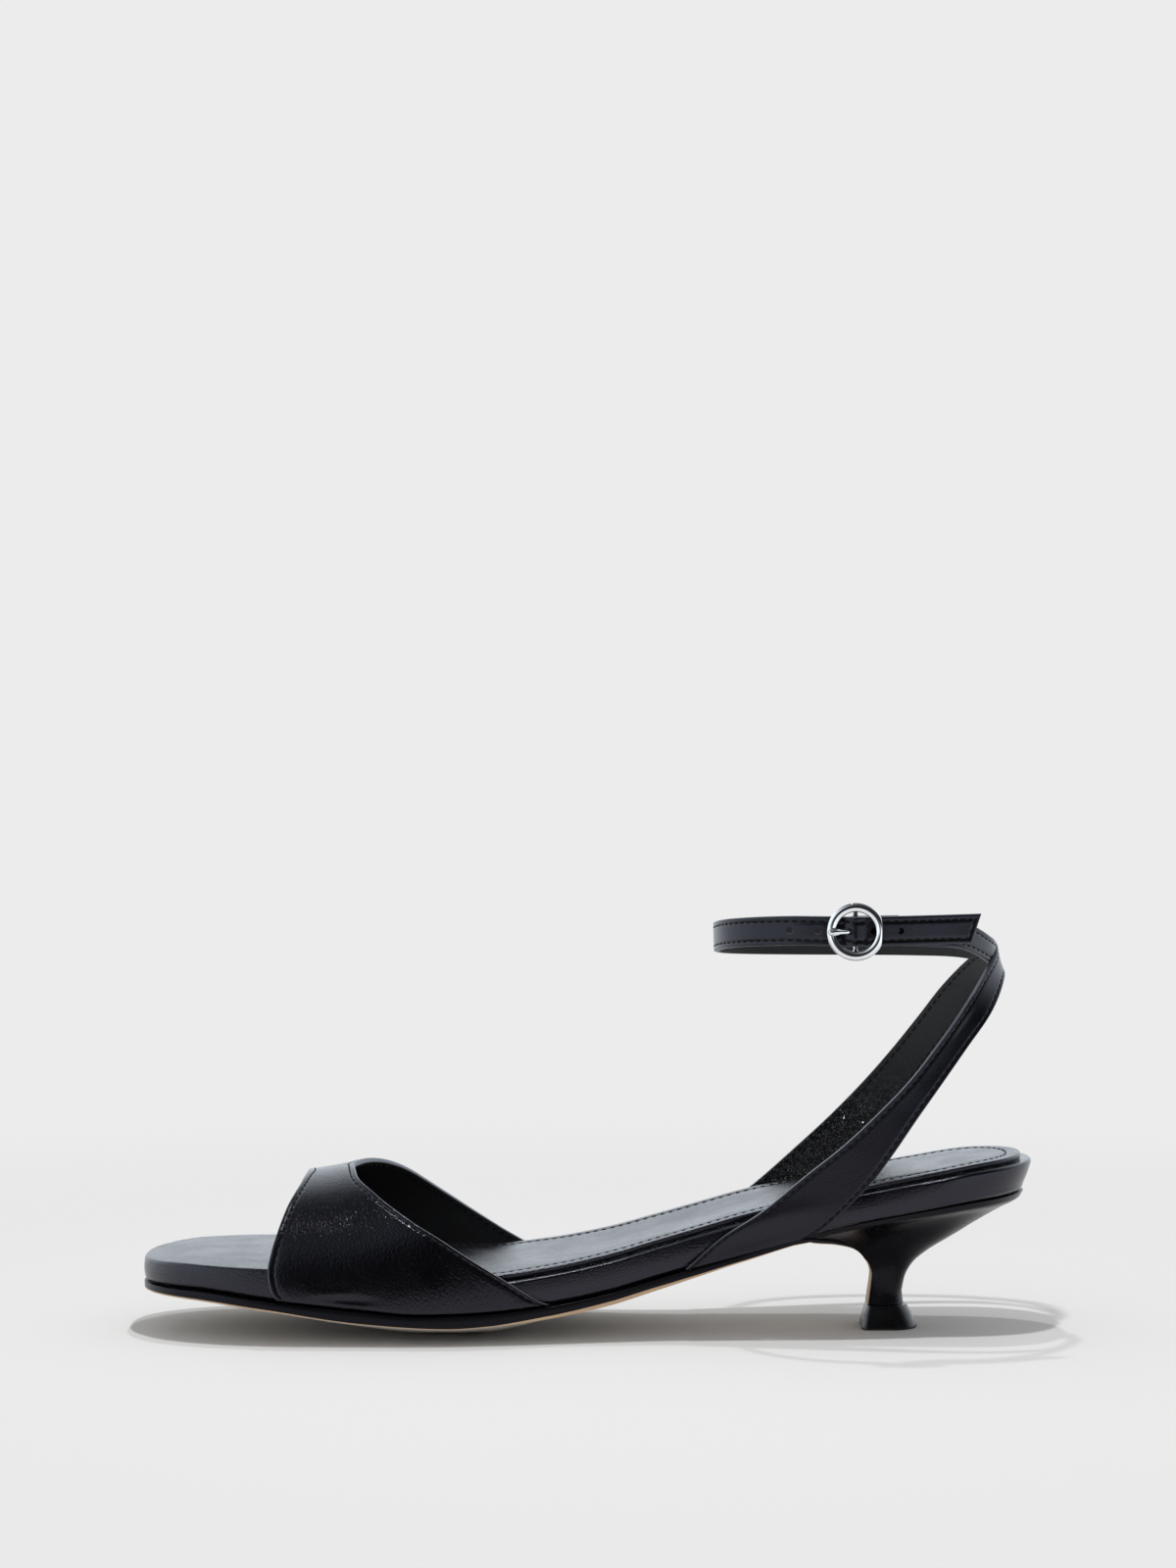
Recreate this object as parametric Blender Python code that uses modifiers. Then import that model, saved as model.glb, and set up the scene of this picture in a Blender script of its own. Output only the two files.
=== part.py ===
"""Left kitten-heel sandal: open vamp band, two straps that cross behind the ankle, round buckle.

Toe at -X, heel at +X, outer side of the foot at -Y, floor at z = 0.
Sizes and tables are in millimetres and become metres as each mesh is made.
"""
import math

import bmesh
import bpy
import numpy as np

MM = 0.001

# Driving sizes
TOE_X = -122.5
HEEL_X = 122.5
GAP = 0.3
TOE_ROUND = 45.0
TOE_SQUARENESS = 2.5
HEEL_ROUND = 27.0
HEEL_SQUARENESS = 2.2
STRAP_WALL = 1.6
VAMP_WALL = 1.6
SOCK_THICKNESS = 1.5
SOCK_FRONT_X = -74.0
SOCK_MARGIN = 3.0
SOCK_CORNER = 12.0
SOCK_SQUARENESS = 3.0
SOCK_BEVEL = 0.5
SOLE_RIM = 1.3
SOLE_RIM_ROUND = 12.0
SOLE_RIM_SQUARENESS = 2.0
SOLE_TOE_INSET = 0.2
SOLE_END_X = 56.1
SOLE_WAIST_X = 40.0
SOLE_WAIST_LENGTH = 19.0
SOLE_FLAT_SHARE = 0.26
SOLE_UNDER_CURVE = 1.3
SOLE_UNDER_STEPS = 4
HEEL_FLAP = 1.1
HEEL_TAPER = 2.2
HEEL_TAPER_X = 70.0
NECK_Z = 10.1
TIP_TOP_Z = 7.0
FOOTBED_STATIONS = 44
SOCK_STATIONS = 36
SOLE_STATIONS = 30

# The bottom of the last, toe to heel: feather line, footbed top, lift of the arch on the inner side,
# outsole edge and middle, half widths
SOLE_COLUMNS = ("x", "feather", "top", "arch", "edge", "middle", "lateral", "medial")
SOLE_ROWS = (
    (-122.5, 14.3, 20.0, 0.0, 12.2, 11.5, 33.0, 33.0),
    (-108.0, 14.4, 21.1, 0.0, 11.8, 9.8, 34.4, 34.0),
    (-86.0, 12.3, 20.9, 0.0, 9.5, 5.8, 36.2, 35.6),
    (-62.0, 9.9, 18.4, 0.0, 6.3, 1.8, 37.1, 37.2),
    (-46.0, 8.5, 16.9, 0.2, 4.8, 0.0, 37.2, 35.9),
    (-28.0, 8.9, 16.8, 0.6, 5.0, 0.0, 35.6, 32.3),
    (-11.0, 10.6, 18.7, 1.0, 7.1, 3.8, 32.6, 28.6),
    (6.0, 13.7, 22.0, 1.4, 10.3, 8.0, 29.4, 25.2),
    (18.0, 17.0, 25.3, 1.6, 13.9, 12.4, 27.6, 23.8),
    (30.0, 20.5, 28.7, 1.6, 17.8, 16.7, 26.9, 23.6),
    (42.0, 24.0, 32.2, 1.4, 21.7, 20.8, 26.6, 24.2),
    (55.0, 27.3, 35.4, 1.0, 25.0, 24.4, 26.3, 25.2),
    (68.0, 30.6, 38.4, 0.6, 28.3, 28.3, 26.0, 25.8),
    (92.0, 35.4, 43.2, 0.2, 33.0, 33.0, 25.8, 25.8),
    (107.0, 37.8, 45.9, 0.0, 35.5, 35.5, 25.6, 25.6),
    (122.5, 39.0, 47.4, 0.0, 37.0, 37.0, 25.4, 25.4),
)

# The footbed's side, by level: inset of the outline and share of the heel's lean, then height over the
# feather line or drop below the top
FOOTBED_LOWER_ROWS = ((2.4, 1.0, 0.0), (0.7, 1.0, 0.5), (0.0, 0.85, 2.0))
FOOTBED_UPPER_ROWS = ((0.0, 2.4), (0.45, 1.0), (1.3, 0.25), (2.6, 0.0))

# The vamp band, by how far over the foot (0 at the sole, 1 on top): its front and back edges
VAMP_COLUMNS = ("over", "front_lateral", "back_lateral", "front_medial", "back_medial")
VAMP_ROWS = (
    (0.00, -83.3, -10.2, -82.0, -4.0),
    (0.17, -85.6, -20.6, -84.4, -14.6),
    (0.30, -86.2, -30.4, -85.0, -25.4),
    (0.42, -85.4, -39.4, -84.4, -34.8),
    (0.55, -83.8, -48.8, -83.0, -43.6),
    (0.70, -80.9, -57.2, -80.4, -51.6),
    (0.85, -77.6, -62.8, -77.4, -58.6),
    (1.00, -75.4, -64.4, -75.4, -64.4),
)
INSTEP_ROWS = ((-92.0, 40.0), (-75.0, 42.0), (-62.0, 44.6), (-45.0, 51.2), (-25.0, 61.0), (0.0, 74.0))
VAMP_ROUNDNESS = 2.3
VAMP_CLEARANCE = 0.5
VAMP_SPREAD = 1.6
VAMP_LINES = 20
VAMP_CELLS = 12

# The heel above its neck: how far each level has spread from the neck to the seat, behind and in front
HEEL_COLUMNS = ("level", "behind", "before")
HEEL_ROWS = (
    (0.00, 0.000, 0.00),
    (0.14, 0.030, -0.02),
    (0.27, 0.105, -0.03),
    (0.39, 0.235, 0.00),
    (0.54, 0.445, 0.085),
    (0.71, 0.672, 0.25),
    (0.84, 0.855, 0.55),
    (0.94, 0.985, 0.97),
    (1.00, 1.000, 1.00),
)
HEEL_SEAT_FRONT_X = 60.0
HEEL_SEAT_INSET = 2.0
HEEL_FRONT_HALF = 21.0
NECK_FRONT_X = 77.9
NECK_BACK_X = 86.9
NECK_FRONT_HALF = 4.4
NECK_HALF = 5.7
HEEL_FOOT_FLARE = 1.1
HEEL_TURNS = 20
HEEL_FRONT_POINTS = 5
FLAP_LEVELS = (0.93, 0.88, 0.84, 0.78, 0.71, 0.62, 0.54, 0.46, 0.39, 0.27, 0.14, 0.0)

# The heel tip, from the floor up: height, front and back ends on the centre line, half width
TIP_ROWS = (
    (0.0, 75.5, 91.1, 8.2),
    (0.9, 75.6, 91.0, 8.1),
    (4.2, 76.4, 89.5, 7.1),
    (TIP_TOP_Z, 77.1, 88.2, 6.6),
)
TIP_FRONT_SHARE = 0.62
TIP_CORNER = (-0.72, 0.95)
TIP_ROUND_FROM = -0.3
TIP_TURNS = 13

# Straps, from sole to end: x, y and z of the edge that leads up or forward, then of the other edge
OUTER_STRAP_ROWS = (
    (26.5, -28.6, 19.9, 59.0, -28.2, 28.6),
    (36.0, -28.9, 28.4, 64.4, -28.5, 31.4),
    (47.1, -29.0, 35.6, 70.2, -28.6, 36.6),
    (58.9, -29.0, 45.3, 77.0, -28.5, 43.6),
    (69.1, -28.9, 53.4, 83.0, -28.3, 51.6),
    (78.3, -28.4, 61.9, 89.2, -27.5, 60.6),
    (87.2, -27.2, 71.0, 96.2, -25.5, 70.2),
    (94.8, -24.9, 80.4, 103.2, -21.4, 79.6),
    (101.8, -20.8, 89.6, 110.0, -15.4, 88.4),
    (107.8, -13.2, 97.8, 113.8, -6.6, 95.4),
    (112.2, -3.0, 104.2, 114.5, 3.6, 98.4),
    (111.4, 9.4, 107.6, 110.8, 13.0, 100.0),
    (104.8, 19.4, 108.8, 103.6, 20.8, 101.0),
    (91.0, 26.6, 109.0, 90.6, 26.8, 101.0),
    (75.0, 28.6, 109.0, 75.0, 28.6, 101.0),
    (58.0, 27.0, 109.2, 58.2, 27.0, 101.2),
    (44.8, 20.6, 109.8, 45.0, 20.8, 101.8),
    (37.4, 10.6, 110.8, 37.6, 10.8, 102.8),
    (35.4, 0.0, 112.2, 35.6, 0.0, 104.2),
    (38.0, -11.4, 113.8, 38.2, -11.4, 105.8),
    (45.0, -20.8, 115.0, 45.0, -20.8, 107.0),
    (54.6, -26.9, 115.7, 54.6, -26.9, 107.7),
    (63.0, -29.2, 115.8, 63.0, -29.2, 107.8),
    (67.6, -30.0, 115.8, 67.6, -30.0, 107.8),
    (72.2, -32.7, 115.8, 72.2, -32.7, 107.8),
    (76.8, -30.0, 115.8, 76.8, -30.0, 107.8),
    (81.4, -29.2, 115.8, 81.4, -29.2, 107.8),
    (91.4, -27.2, 115.9, 91.2, -27.2, 107.9),
    (106.8, -20.2, 115.9, 104.0, -21.8, 107.9),
)
INNER_STRAP_ROWS = (
    (28.0, 25.4, 20.3, 60.0, 27.2, 28.9),
    (37.0, 25.6, 28.8, 65.2, 27.4, 31.8),
    (47.5, 26.3, 37.0, 71.0, 27.6, 36.8),
    (58.5, 27.2, 46.6, 77.6, 27.9, 43.8),
    (68.5, 27.7, 55.8, 83.4, 28.0, 52.0),
    (77.7, 27.8, 65.2, 89.4, 27.4, 61.0),
    (86.0, 27.1, 74.8, 96.0, 25.3, 70.8),
    (93.3, 25.0, 84.2, 102.6, 21.4, 80.2),
    (99.8, 20.8, 93.2, 108.2, 15.4, 88.8),
    (106.4, 13.0, 101.0, 112.0, 6.6, 95.2),
    (111.8, 3.2, 105.8, 112.7, -1.6, 98.8),
    (109.8, -6.4, 109.0, 108.8, -8.6, 102.4),
    (102.4, -16.8, 113.4, 101.2, -18.4, 106.2),
    (92.6, -24.2, 115.2, 92.2, -24.4, 107.2),
    (81.4, -27.2, 115.8, 81.4, -27.2, 107.8),
    (77.8, -27.6, 115.8, 77.8, -27.6, 107.8),
    (72.4, -29.8, 115.8, 72.4, -29.8, 107.8),
)
POINTS_A_ROW = 4
STRAP_CELLS = 4
STRAP_HALF_WIDTH = 4.0

# Buckle on the outer side of the ankle
BUCKLE_X = 72.2
BUCKLE_Z = 111.8
RING_Y = -32.7
RING_RADIUS = 6.6
RING_WIRE = 1.25
RING_DEPTH = 0.9
RING_FLAT = 7.1
RING_TURNS = 36
RING_SIDES = 12
BAR_Y = -29.8
BAR_RADIUS = 0.7
BAR_HALF = 5.0
EYE_WALL = 0.8
PRONG_RADIUS = 0.65
PRONG_TIP_X = 64.6
PRONG_START = 0.4
PRONG_REST_GAP = 0.15
PRONG_BAR_GAP = 0.2
KNUCKLE_WALL = 0.75
KNUCKLE_HALF = 0.8
PIN_SIDES = 12
EYE_SIDES = 20
PRONG_SLOT = 2.4
SLOT_BEFORE = 4.0
SLOT_BEHIND = 3.0
SLIT_STRETCH = 0.3
PUNCH_REACH = 7.0
CUT_PAST = 2.0
HOLE_PITCH = 7.35
HOLE_RADIUS = 0.9
HOLES_FROM_PRONG = (-2, -1, 1, 2)
PRONG_HOLE_X = 68.3

# Colours
BLACK = (0.012, 0.012, 0.015)
TIP_BLACK = (0.01, 0.01, 0.01)
TAN = (0.45, 0.3, 0.18)
STEEL = (0.8, 0.8, 0.8)


def monotone(xs, ys):
    """Cubic through table rows that never overshoots them."""
    xs = np.asarray(xs, float)
    ys = np.asarray(ys, float)
    steps = np.diff(xs)
    slopes = np.diff(ys) / steps
    tangents = np.concatenate(([slopes[0]], np.zeros(len(xs) - 2), [slopes[-1]]))
    for i in range(1, len(xs) - 1):
        if slopes[i - 1] * slopes[i] > 0:
            before = 2 * steps[i] + steps[i - 1]
            after = steps[i] + 2 * steps[i - 1]
            tangents[i] = (before + after) / (before / slopes[i - 1] + after / slopes[i])

    def at(x):
        x = min(max(x, xs[0]), xs[-1])
        i = min(int(np.searchsorted(xs, x, side="right")) - 1, len(xs) - 2)
        h = steps[i]
        t = (x - xs[i]) / h
        rise = (1 + 2 * t) * (1 - t) ** 2 * ys[i] + t * t * (3 - 2 * t) * ys[i + 1]
        return rise + h * (t * (1 - t) ** 2 * tangents[i] + t * t * (t - 1) * tangents[i + 1])

    return at


def table(columns, rows):
    """One smooth line for each column of a table, over its first column."""
    keys = [row[0] for row in rows]
    return {name: monotone(keys, [row[i] for row in rows]) for i, name in enumerate(columns) if i}


def smooth_rows(rows, points_a_row):
    """Catmull-Rom points through the rows of a table."""
    rows = np.asarray(rows, float)
    padded = np.vstack((2 * rows[0] - rows[1], rows, 2 * rows[-1] - rows[-2]))
    points = []
    for i in range(1, len(padded) - 2):
        before, start, end, after = padded[i - 1:i + 3]
        for k in range(points_a_row):
            t = k / points_a_row
            bend = (2 * before - 5 * start + 4 * end - after) * t
            twist = (3 * start - before - 3 * end + after) * t * t
            points.append(start + 0.5 * t * (end - before + bend + twist))
    points.append(rows[-1])
    return np.array(points)


SOLE = table(SOLE_COLUMNS, SOLE_ROWS)
VAMP = table(VAMP_COLUMNS, VAMP_ROWS)
HEEL = table(HEEL_COLUMNS, HEEL_ROWS)
INSTEP = monotone(*zip(*INSTEP_ROWS))


def end_round(distance, radius, power):
    """Share of the full width at a distance from a rounded end."""
    if distance >= radius:
        return 1.0
    return max(0.0, 1 - ((radius - distance) / radius) ** power) ** (1 / power)


def half_width(side, x):
    """Footbed outline on one side of the foot, with its round toe and heel."""
    toe = end_round(x - TOE_X, TOE_ROUND, TOE_SQUARENESS)
    heel = end_round(HEEL_X - x, HEEL_ROUND, HEEL_SQUARENESS)
    return SOLE[side](x) * toe * heel


def stations(start, end, count):
    """Places from start to end, closer together near both ends."""
    return [start + (end - start) * 0.5 * (1 - math.cos(math.pi * i / count)) for i in range(count + 1)]


def plan_loop(start, end, count, width):
    """Closed outline seen from above: toe tip, outer side, heel tip, inner side."""
    places = stations(start, end, count)
    outer = [(x, -width("lateral", x)) for x in places[1:-1]]
    inner = [(x, width("medial", x)) for x in places[1:-1]]
    return np.array([(start, 0.0)] + outer + [(end, 0.0)] + inner[::-1])


def inset_loop(loop, distance):
    """The outline moved inwards by a distance."""
    along = np.roll(loop, -1, axis=0) - np.roll(loop, 1, axis=0)
    along /= np.linalg.norm(along, axis=1)[:, None]
    return loop + distance * np.stack((-along[:, 1], along[:, 0]), axis=1)


def arch_lift(x, y):
    """Rise of the footbed towards the inner side of the arch."""
    return SOLE["arch"](x) * max(0.0, y) / SOLE["medial"](x)


def heel_taper(x):
    """How far the footbed's side leans in, top to bottom, round the heel."""
    share = min(max((x - HEEL_TAPER_X) / (HEEL_X - HEEL_TAPER_X), 0.0), 1.0)
    return HEEL_TAPER * share * share


def mesh_from(name, points, faces):
    """Mesh in metres with its faces pointing out."""
    mesh = bpy.data.meshes.new(name)
    mesh.from_pydata([tuple(np.asarray(p) * MM) for p in points], [], faces)
    shape = bmesh.new()
    shape.from_mesh(mesh)
    bmesh.ops.recalc_face_normals(shape, faces=shape.faces)
    shape.to_mesh(mesh)
    shape.free()
    return mesh


def ring_faces(count, rings, closed=True):
    """Quads between rings of points that follow one another."""
    faces = []
    for r in range(rings - 1):
        for i in range(count if closed else count - 1):
            j = (i + 1) % count
            faces.append((r * count + i, r * count + j, (r + 1) * count + j, (r + 1) * count + i))
    return faces


def ladder_faces(first, count):
    """Faces that close a plan outline, rung by rung from toe to heel."""
    half = count // 2
    faces = [(first, first + 1, first + count - 1)]
    for k in range(1, half - 1):
        faces.append((first + k, first + k + 1, first + count - k - 1, first + count - k))
    faces.append((first + half - 1, first + half, first + half + 1))
    return faces


def layer_mesh(name, loop, rings):
    """Sole layer: the outline at each ring's inset and height, closed below and above."""
    points = []
    for inset, height in rings:
        line = inset_loop(loop, np.array([[inset(x)] for x, _ in loop]))
        points += [(x, y, height(x, y)) for x, y in line]
    count = len(loop)
    faces = ring_faces(count, len(rings))
    faces += ladder_faces(0, count)
    faces += ladder_faces(count * (len(rings) - 1), count)
    return mesh_from(name, points, faces)


def finish(name, colour, roughness, metallic=0.0):
    material = bpy.data.materials.new(name)
    material.use_nodes = True
    shader = material.node_tree.nodes["Principled BSDF"]
    shader.inputs["Base Color"].default_value = (*colour, 1.0)
    shader.inputs["Roughness"].default_value = roughness
    shader.inputs["Metallic"].default_value = metallic
    return material


def place(name, mesh, material, collection, smooth_angle=40):
    """Named object with one material, round faces shaded smooth."""
    mesh.materials.clear()
    mesh.materials.append(material)
    mesh.shade_smooth()
    mesh.set_sharp_from_angle(angle=math.radians(smooth_angle))
    part = bpy.data.objects.new(name, mesh)
    collection.objects.link(part)
    return part


def cutter(name, mesh, collection):
    tool = bpy.data.objects.new(name, mesh)
    tool.hide_render = True
    tool.display_type = "WIRE"
    collection.objects.link(tool)
    return tool


def combine(part, tool, operation):
    joint = part.modifiers.new(tool.name, "BOOLEAN")
    joint.operation = operation
    joint.object = tool


def rod_mesh(name, start, end, radius, sides=16):
    """Round bar between two points."""
    start, end = np.asarray(start, float), np.asarray(end, float)
    along = (end - start) / np.linalg.norm(end - start)
    across = np.cross(along, (0.3, 0.9, 0.2))
    across /= np.linalg.norm(across)
    other = np.cross(along, across)
    turns = [2 * math.pi * i / sides for i in range(sides)]
    ring = np.array([radius * (math.cos(a) * across + math.sin(a) * other) for a in turns])
    faces = ring_faces(sides, 2)
    faces += [tuple(range(sides)), tuple(range(sides, 2 * sides))]
    return mesh_from(name, np.vstack((start + ring, end + ring)), faces)


def wire_mesh(name, points, radius):
    """Bent round wire with closed ends."""
    curve = bpy.data.curves.new(name, "CURVE")
    curve.dimensions = "3D"
    curve.bevel_depth = radius * MM
    curve.bevel_resolution = 2
    curve.use_fill_caps = True
    line = curve.splines.new("POLY")
    line.points.add(len(points) - 1)
    for point, place_at in zip(line.points, points):
        point.co = (*(np.array(place_at) * MM), 1.0)
    wire = bpy.data.objects.new(name, curve)
    bpy.context.scene.collection.objects.link(wire)
    bpy.context.view_layer.update()
    mesh = applied(wire)
    shape = bmesh.new()
    shape.from_mesh(mesh)
    bmesh.ops.remove_doubles(shape, verts=shape.verts, dist=0.01 * MM)
    bmesh.ops.recalc_face_normals(shape, faces=shape.faces)
    shape.to_mesh(mesh)
    shape.free()
    return mesh


def box_mesh(name, low, high):
    shape = bmesh.new()
    bmesh.ops.create_cube(shape, size=1.0)
    low, high = np.array(low) * MM, np.array(high) * MM
    bmesh.ops.scale(shape, vec=high - low, verts=shape.verts)
    bmesh.ops.translate(shape, vec=(low + high) / 2, verts=shape.verts)
    mesh = bpy.data.meshes.new(name)
    shape.to_mesh(mesh)
    shape.free()
    return mesh


def applied(part):
    """The object's mesh with its modifiers, in place of the object."""
    evaluated = part.evaluated_get(bpy.context.evaluated_depsgraph_get())
    mesh = bpy.data.meshes.new_from_object(evaluated)
    bpy.data.objects.remove(part)
    return mesh


def footbed_mesh():
    """Covered insole board with rounded lower and upper edges."""
    loop = plan_loop(TOE_X, HEEL_X, FOOTBED_STATIONS, half_width)

    def leaning(inset, share):
        return lambda x: inset + share * heel_taper(x)

    def from_bottom(rise):
        return lambda x, y: SOLE["feather"](x) + rise

    def from_top(drop):
        return lambda x, y: SOLE["top"](x) + arch_lift(x, y) - drop

    rings = [(leaning(inset, lean), from_bottom(rise)) for inset, lean, rise in FOOTBED_LOWER_ROWS]
    rings += [(leaning(inset, 0.0), from_top(drop)) for inset, drop in FOOTBED_UPPER_ROWS]
    return layer_mesh("footbed", loop, rings)


def sock_width(side, x):
    """Sock lining outline: the footbed's, less a margin, cut across under the vamp."""
    heel_end = HEEL_X - SOCK_MARGIN
    front = end_round(x - SOCK_FRONT_X, SOCK_CORNER, SOCK_SQUARENESS)
    heel = end_round(heel_end - x, HEEL_ROUND - SOCK_MARGIN, HEEL_SQUARENESS)
    return (SOLE[side](x) - SOCK_MARGIN) * front * heel


def insole_mesh():
    loop = plan_loop(SOCK_FRONT_X, HEEL_X - SOCK_MARGIN, SOCK_STATIONS, sock_width)

    def above(rise):
        return lambda x, y: SOLE["top"](x) + arch_lift(x, y) + GAP + rise

    def inside(inset):
        return lambda x: inset

    rings = (
        (inside(0.0), above(0.0)),
        (inside(0.0), above(SOCK_THICKNESS - SOCK_BEVEL)),
        (inside(SOCK_BEVEL), above(SOCK_THICKNESS)),
    )
    return layer_mesh("insole", loop, rings)


def heel_ring(level):
    """One closed line round the heel, from its seat (1) down to its neck (0)."""
    behind, before = HEEL["behind"](level), HEEL["before"](level)
    points = []
    for share in np.linspace(-1.0, 1.0, HEEL_FRONT_POINTS):
        seat = (HEEL_SEAT_FRONT_X, share * HEEL_FRONT_HALF)
        neck = (NECK_FRONT_X, share * NECK_FRONT_HALF)
        points.append((seat, neck, before))
    for k in range(1, HEEL_TURNS):
        angle = math.pi * k / HEEL_TURNS
        side = "medial" if angle < math.pi / 2 else "lateral"
        sign = 1 if side == "medial" else -1
        reach = math.sin(angle)
        seat_x = HEEL_SEAT_FRONT_X + (HEEL_X - HEEL_SEAT_INSET - HEEL_SEAT_FRONT_X) * reach
        seat_y = half_width(side, min(seat_x + HEEL_SEAT_INSET * reach, HEEL_X)) - HEEL_SEAT_INSET
        seat_y = max(0.0, seat_y)
        neck_x = NECK_FRONT_X + (NECK_BACK_X - NECK_FRONT_X) * reach
        neck_y = NECK_FRONT_HALF * abs(math.cos(angle))
        neck_y += (NECK_HALF - NECK_FRONT_HALF) * math.sin(2 * angle) ** 2
        seat_y += (HEEL_FRONT_HALF - seat_y) * (1 - reach) ** 2
        seat, neck = (seat_x, sign * seat_y), (neck_x, sign * neck_y)
        points.append((seat, neck, before + (behind - before) * reach))
    ring = []
    for (seat_x, seat_y), (neck_x, neck_y), spread in points:
        top = SOLE["feather"](seat_x) - GAP
        x = neck_x + (seat_x - neck_x) * spread
        y = neck_y + (seat_y - neck_y) * spread
        ring.append((x, y, NECK_Z + (top - NECK_Z) * level))
    return np.array(ring)


def heel_mesh():
    """Covered heel: seat under the footbed, waisted neck, slight flare above the tip."""
    levels = [row[0] for row in HEEL_ROWS]
    neck = heel_ring(0.0)
    middle = np.array(((NECK_FRONT_X + NECK_BACK_X) / 2, 0.0, 0.0))
    foot = middle + (neck - middle) * np.array((HEEL_FOOT_FLARE, HEEL_FOOT_FLARE, 0.0))
    foot[:, 2] = TIP_TOP_Z + GAP
    rings = [foot] + [heel_ring(level) for level in levels]
    count = len(neck)
    faces = ring_faces(count, len(rings))
    last = count * (len(rings) - 1)
    faces += [tuple(range(count)), tuple(range(last, last + count))]
    return mesh_from("heel", np.vstack(rings), faces)


def heel_tip_mesh():
    """Flared top piece: flat front with cut corners, round back, flat on the floor."""
    corner_x, corner_y = TIP_CORNER
    turns = np.linspace(0.0, math.pi, TIP_TURNS)
    plan = [(-1.0, -TIP_FRONT_SHARE), (-1.0, TIP_FRONT_SHARE), (corner_x, corner_y)]
    plan += [(TIP_ROUND_FROM + (1 - TIP_ROUND_FROM) * math.sin(a), math.cos(a)) for a in turns]
    plan += [(corner_x, -corner_y)]
    plan = np.array(plan)
    rings = []
    for z, front, back, half in TIP_ROWS:
        x = (front + back) / 2 + plan[:, 0] * (back - front) / 2
        rings.append(np.stack((x, plan[:, 1] * half, np.full(len(plan), z)), axis=1))
    count = len(plan)
    faces = ring_faces(count, len(rings))
    last = count * (len(rings) - 1)
    faces += [tuple(range(count)), tuple(range(last, last + count))]
    return mesh_from("heel_tip", np.vstack(rings), faces)


def outsole_width(side, x):
    """Outsole outline: a rim wider than the footbed, drawn in to the heel front at the waist."""
    rim = SOLE_RIM * end_round(x - TOE_X + SOLE_RIM, SOLE_RIM_ROUND, SOLE_RIM_SQUARENESS)
    full = half_width(side, x) + rim
    share = min(max((x - SOLE_WAIST_X) / SOLE_WAIST_LENGTH, 0.0), 1.0)
    return full + (HEEL_FRONT_HALF - full) * share * share * (3 - 2 * share)


def outsole_mesh():
    """Leather sole with a shallow rounded underside, running on as a thin flap down the heel front."""
    half_shares = np.linspace(SOLE_FLAT_SHARE, 1.0, SOLE_UNDER_STEPS)
    shares = np.concatenate((-half_shares[::-1], [0.0], half_shares))
    start = TOE_X + SOLE_TOE_INSET
    sections = []
    for i in range(SOLE_STATIONS + 1):
        x = start + (SOLE_END_X - start) * (1 - math.cos(math.pi / 2 * i / SOLE_STATIONS))
        top = SOLE["feather"](x) - GAP
        edge, lowest = SOLE["edge"](x), SOLE["middle"](x)
        under = []
        for share in shares:
            width = outsole_width("lateral" if share < 0 else "medial", x)
            rise = max(0.0, (abs(share) - SOLE_FLAT_SHARE) / (1 - SOLE_FLAT_SHARE)) ** SOLE_UNDER_CURVE
            under.append((x, share * width, lowest + (edge - lowest) * rise))
        over = [(x, y, top) for _, y, _ in under]
        sections.append(under + over[::-1])
    front = np.array([heel_ring(level)[:HEEL_FRONT_POINTS] for level in FLAP_LEVELS])
    middle = HEEL_FRONT_POINTS // 2
    line = front[:, middle]
    along = np.gradient(line, axis=0)
    along /= np.linalg.norm(along, axis=1)[:, None]
    for row, step in zip(front, along):
        out = np.array((step[2], 0.0, -step[0]))
        reach = row[-1, 1]
        over = [row[middle] + GAP * out + np.array((0.0, share * reach, 0.0)) for share in shares]
        under = [point + HEEL_FLAP * out for point in over]
        sections.append(under + over[::-1])
    count = len(sections[0])
    faces = ring_faces(count, len(sections))
    last = count * (len(sections) - 1)
    faces += [tuple(range(count)), tuple(range(last, last + count))]
    return mesh_from("outsole", np.vstack(sections), faces)


def vamp_point(over, side, x):
    """Inner face of the vamp where the band crosses the last's section at x."""
    angle = math.pi / 2 * over ** VAMP_SPREAD
    base = SOLE["feather"](x) + GAP
    bend = 2 / VAMP_ROUNDNESS
    sign = -1 if side == "lateral" else 1
    y = sign * (half_width(side, x) + VAMP_CLEARANCE) * max(0.0, math.cos(angle)) ** bend
    return x, y, base + (INSTEP(x) - base) * math.sin(angle) ** bend


def vamp_mesh():
    """Open sheet over the forefoot, from the outer sole edge over the foot to the inner one."""
    lines = [("lateral", i / VAMP_LINES) for i in range(VAMP_LINES + 1)]
    lines += [("medial", 1 - i / VAMP_LINES) for i in range(1, VAMP_LINES + 1)]
    points = []
    for side, over in lines:
        front, back = VAMP["front_" + side](over), VAMP["back_" + side](over)
        for k in range(VAMP_CELLS + 1):
            points.append(vamp_point(over, side, front + (back - front) * k / VAMP_CELLS))
    faces = ring_faces(VAMP_CELLS + 1, len(lines), closed=False)
    return mesh_from("vamp", points, faces)


def ribbon_mesh(name, rows):
    """Open strip of leather between its two edges."""
    edges = smooth_rows(rows, POINTS_A_ROW)
    points = []
    for row in edges:
        for k in range(STRAP_CELLS + 1):
            points.append(row[:3] + (row[3:] - row[:3]) * k / STRAP_CELLS)
    return mesh_from(name, points, ring_faces(STRAP_CELLS + 1, len(edges), closed=False))


def thicken(part, wall, offset):
    shell = part.modifiers.new("wall", "SOLIDIFY")
    shell.thickness = wall * MM
    shell.offset = offset
    shell.use_even_offset = True


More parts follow.
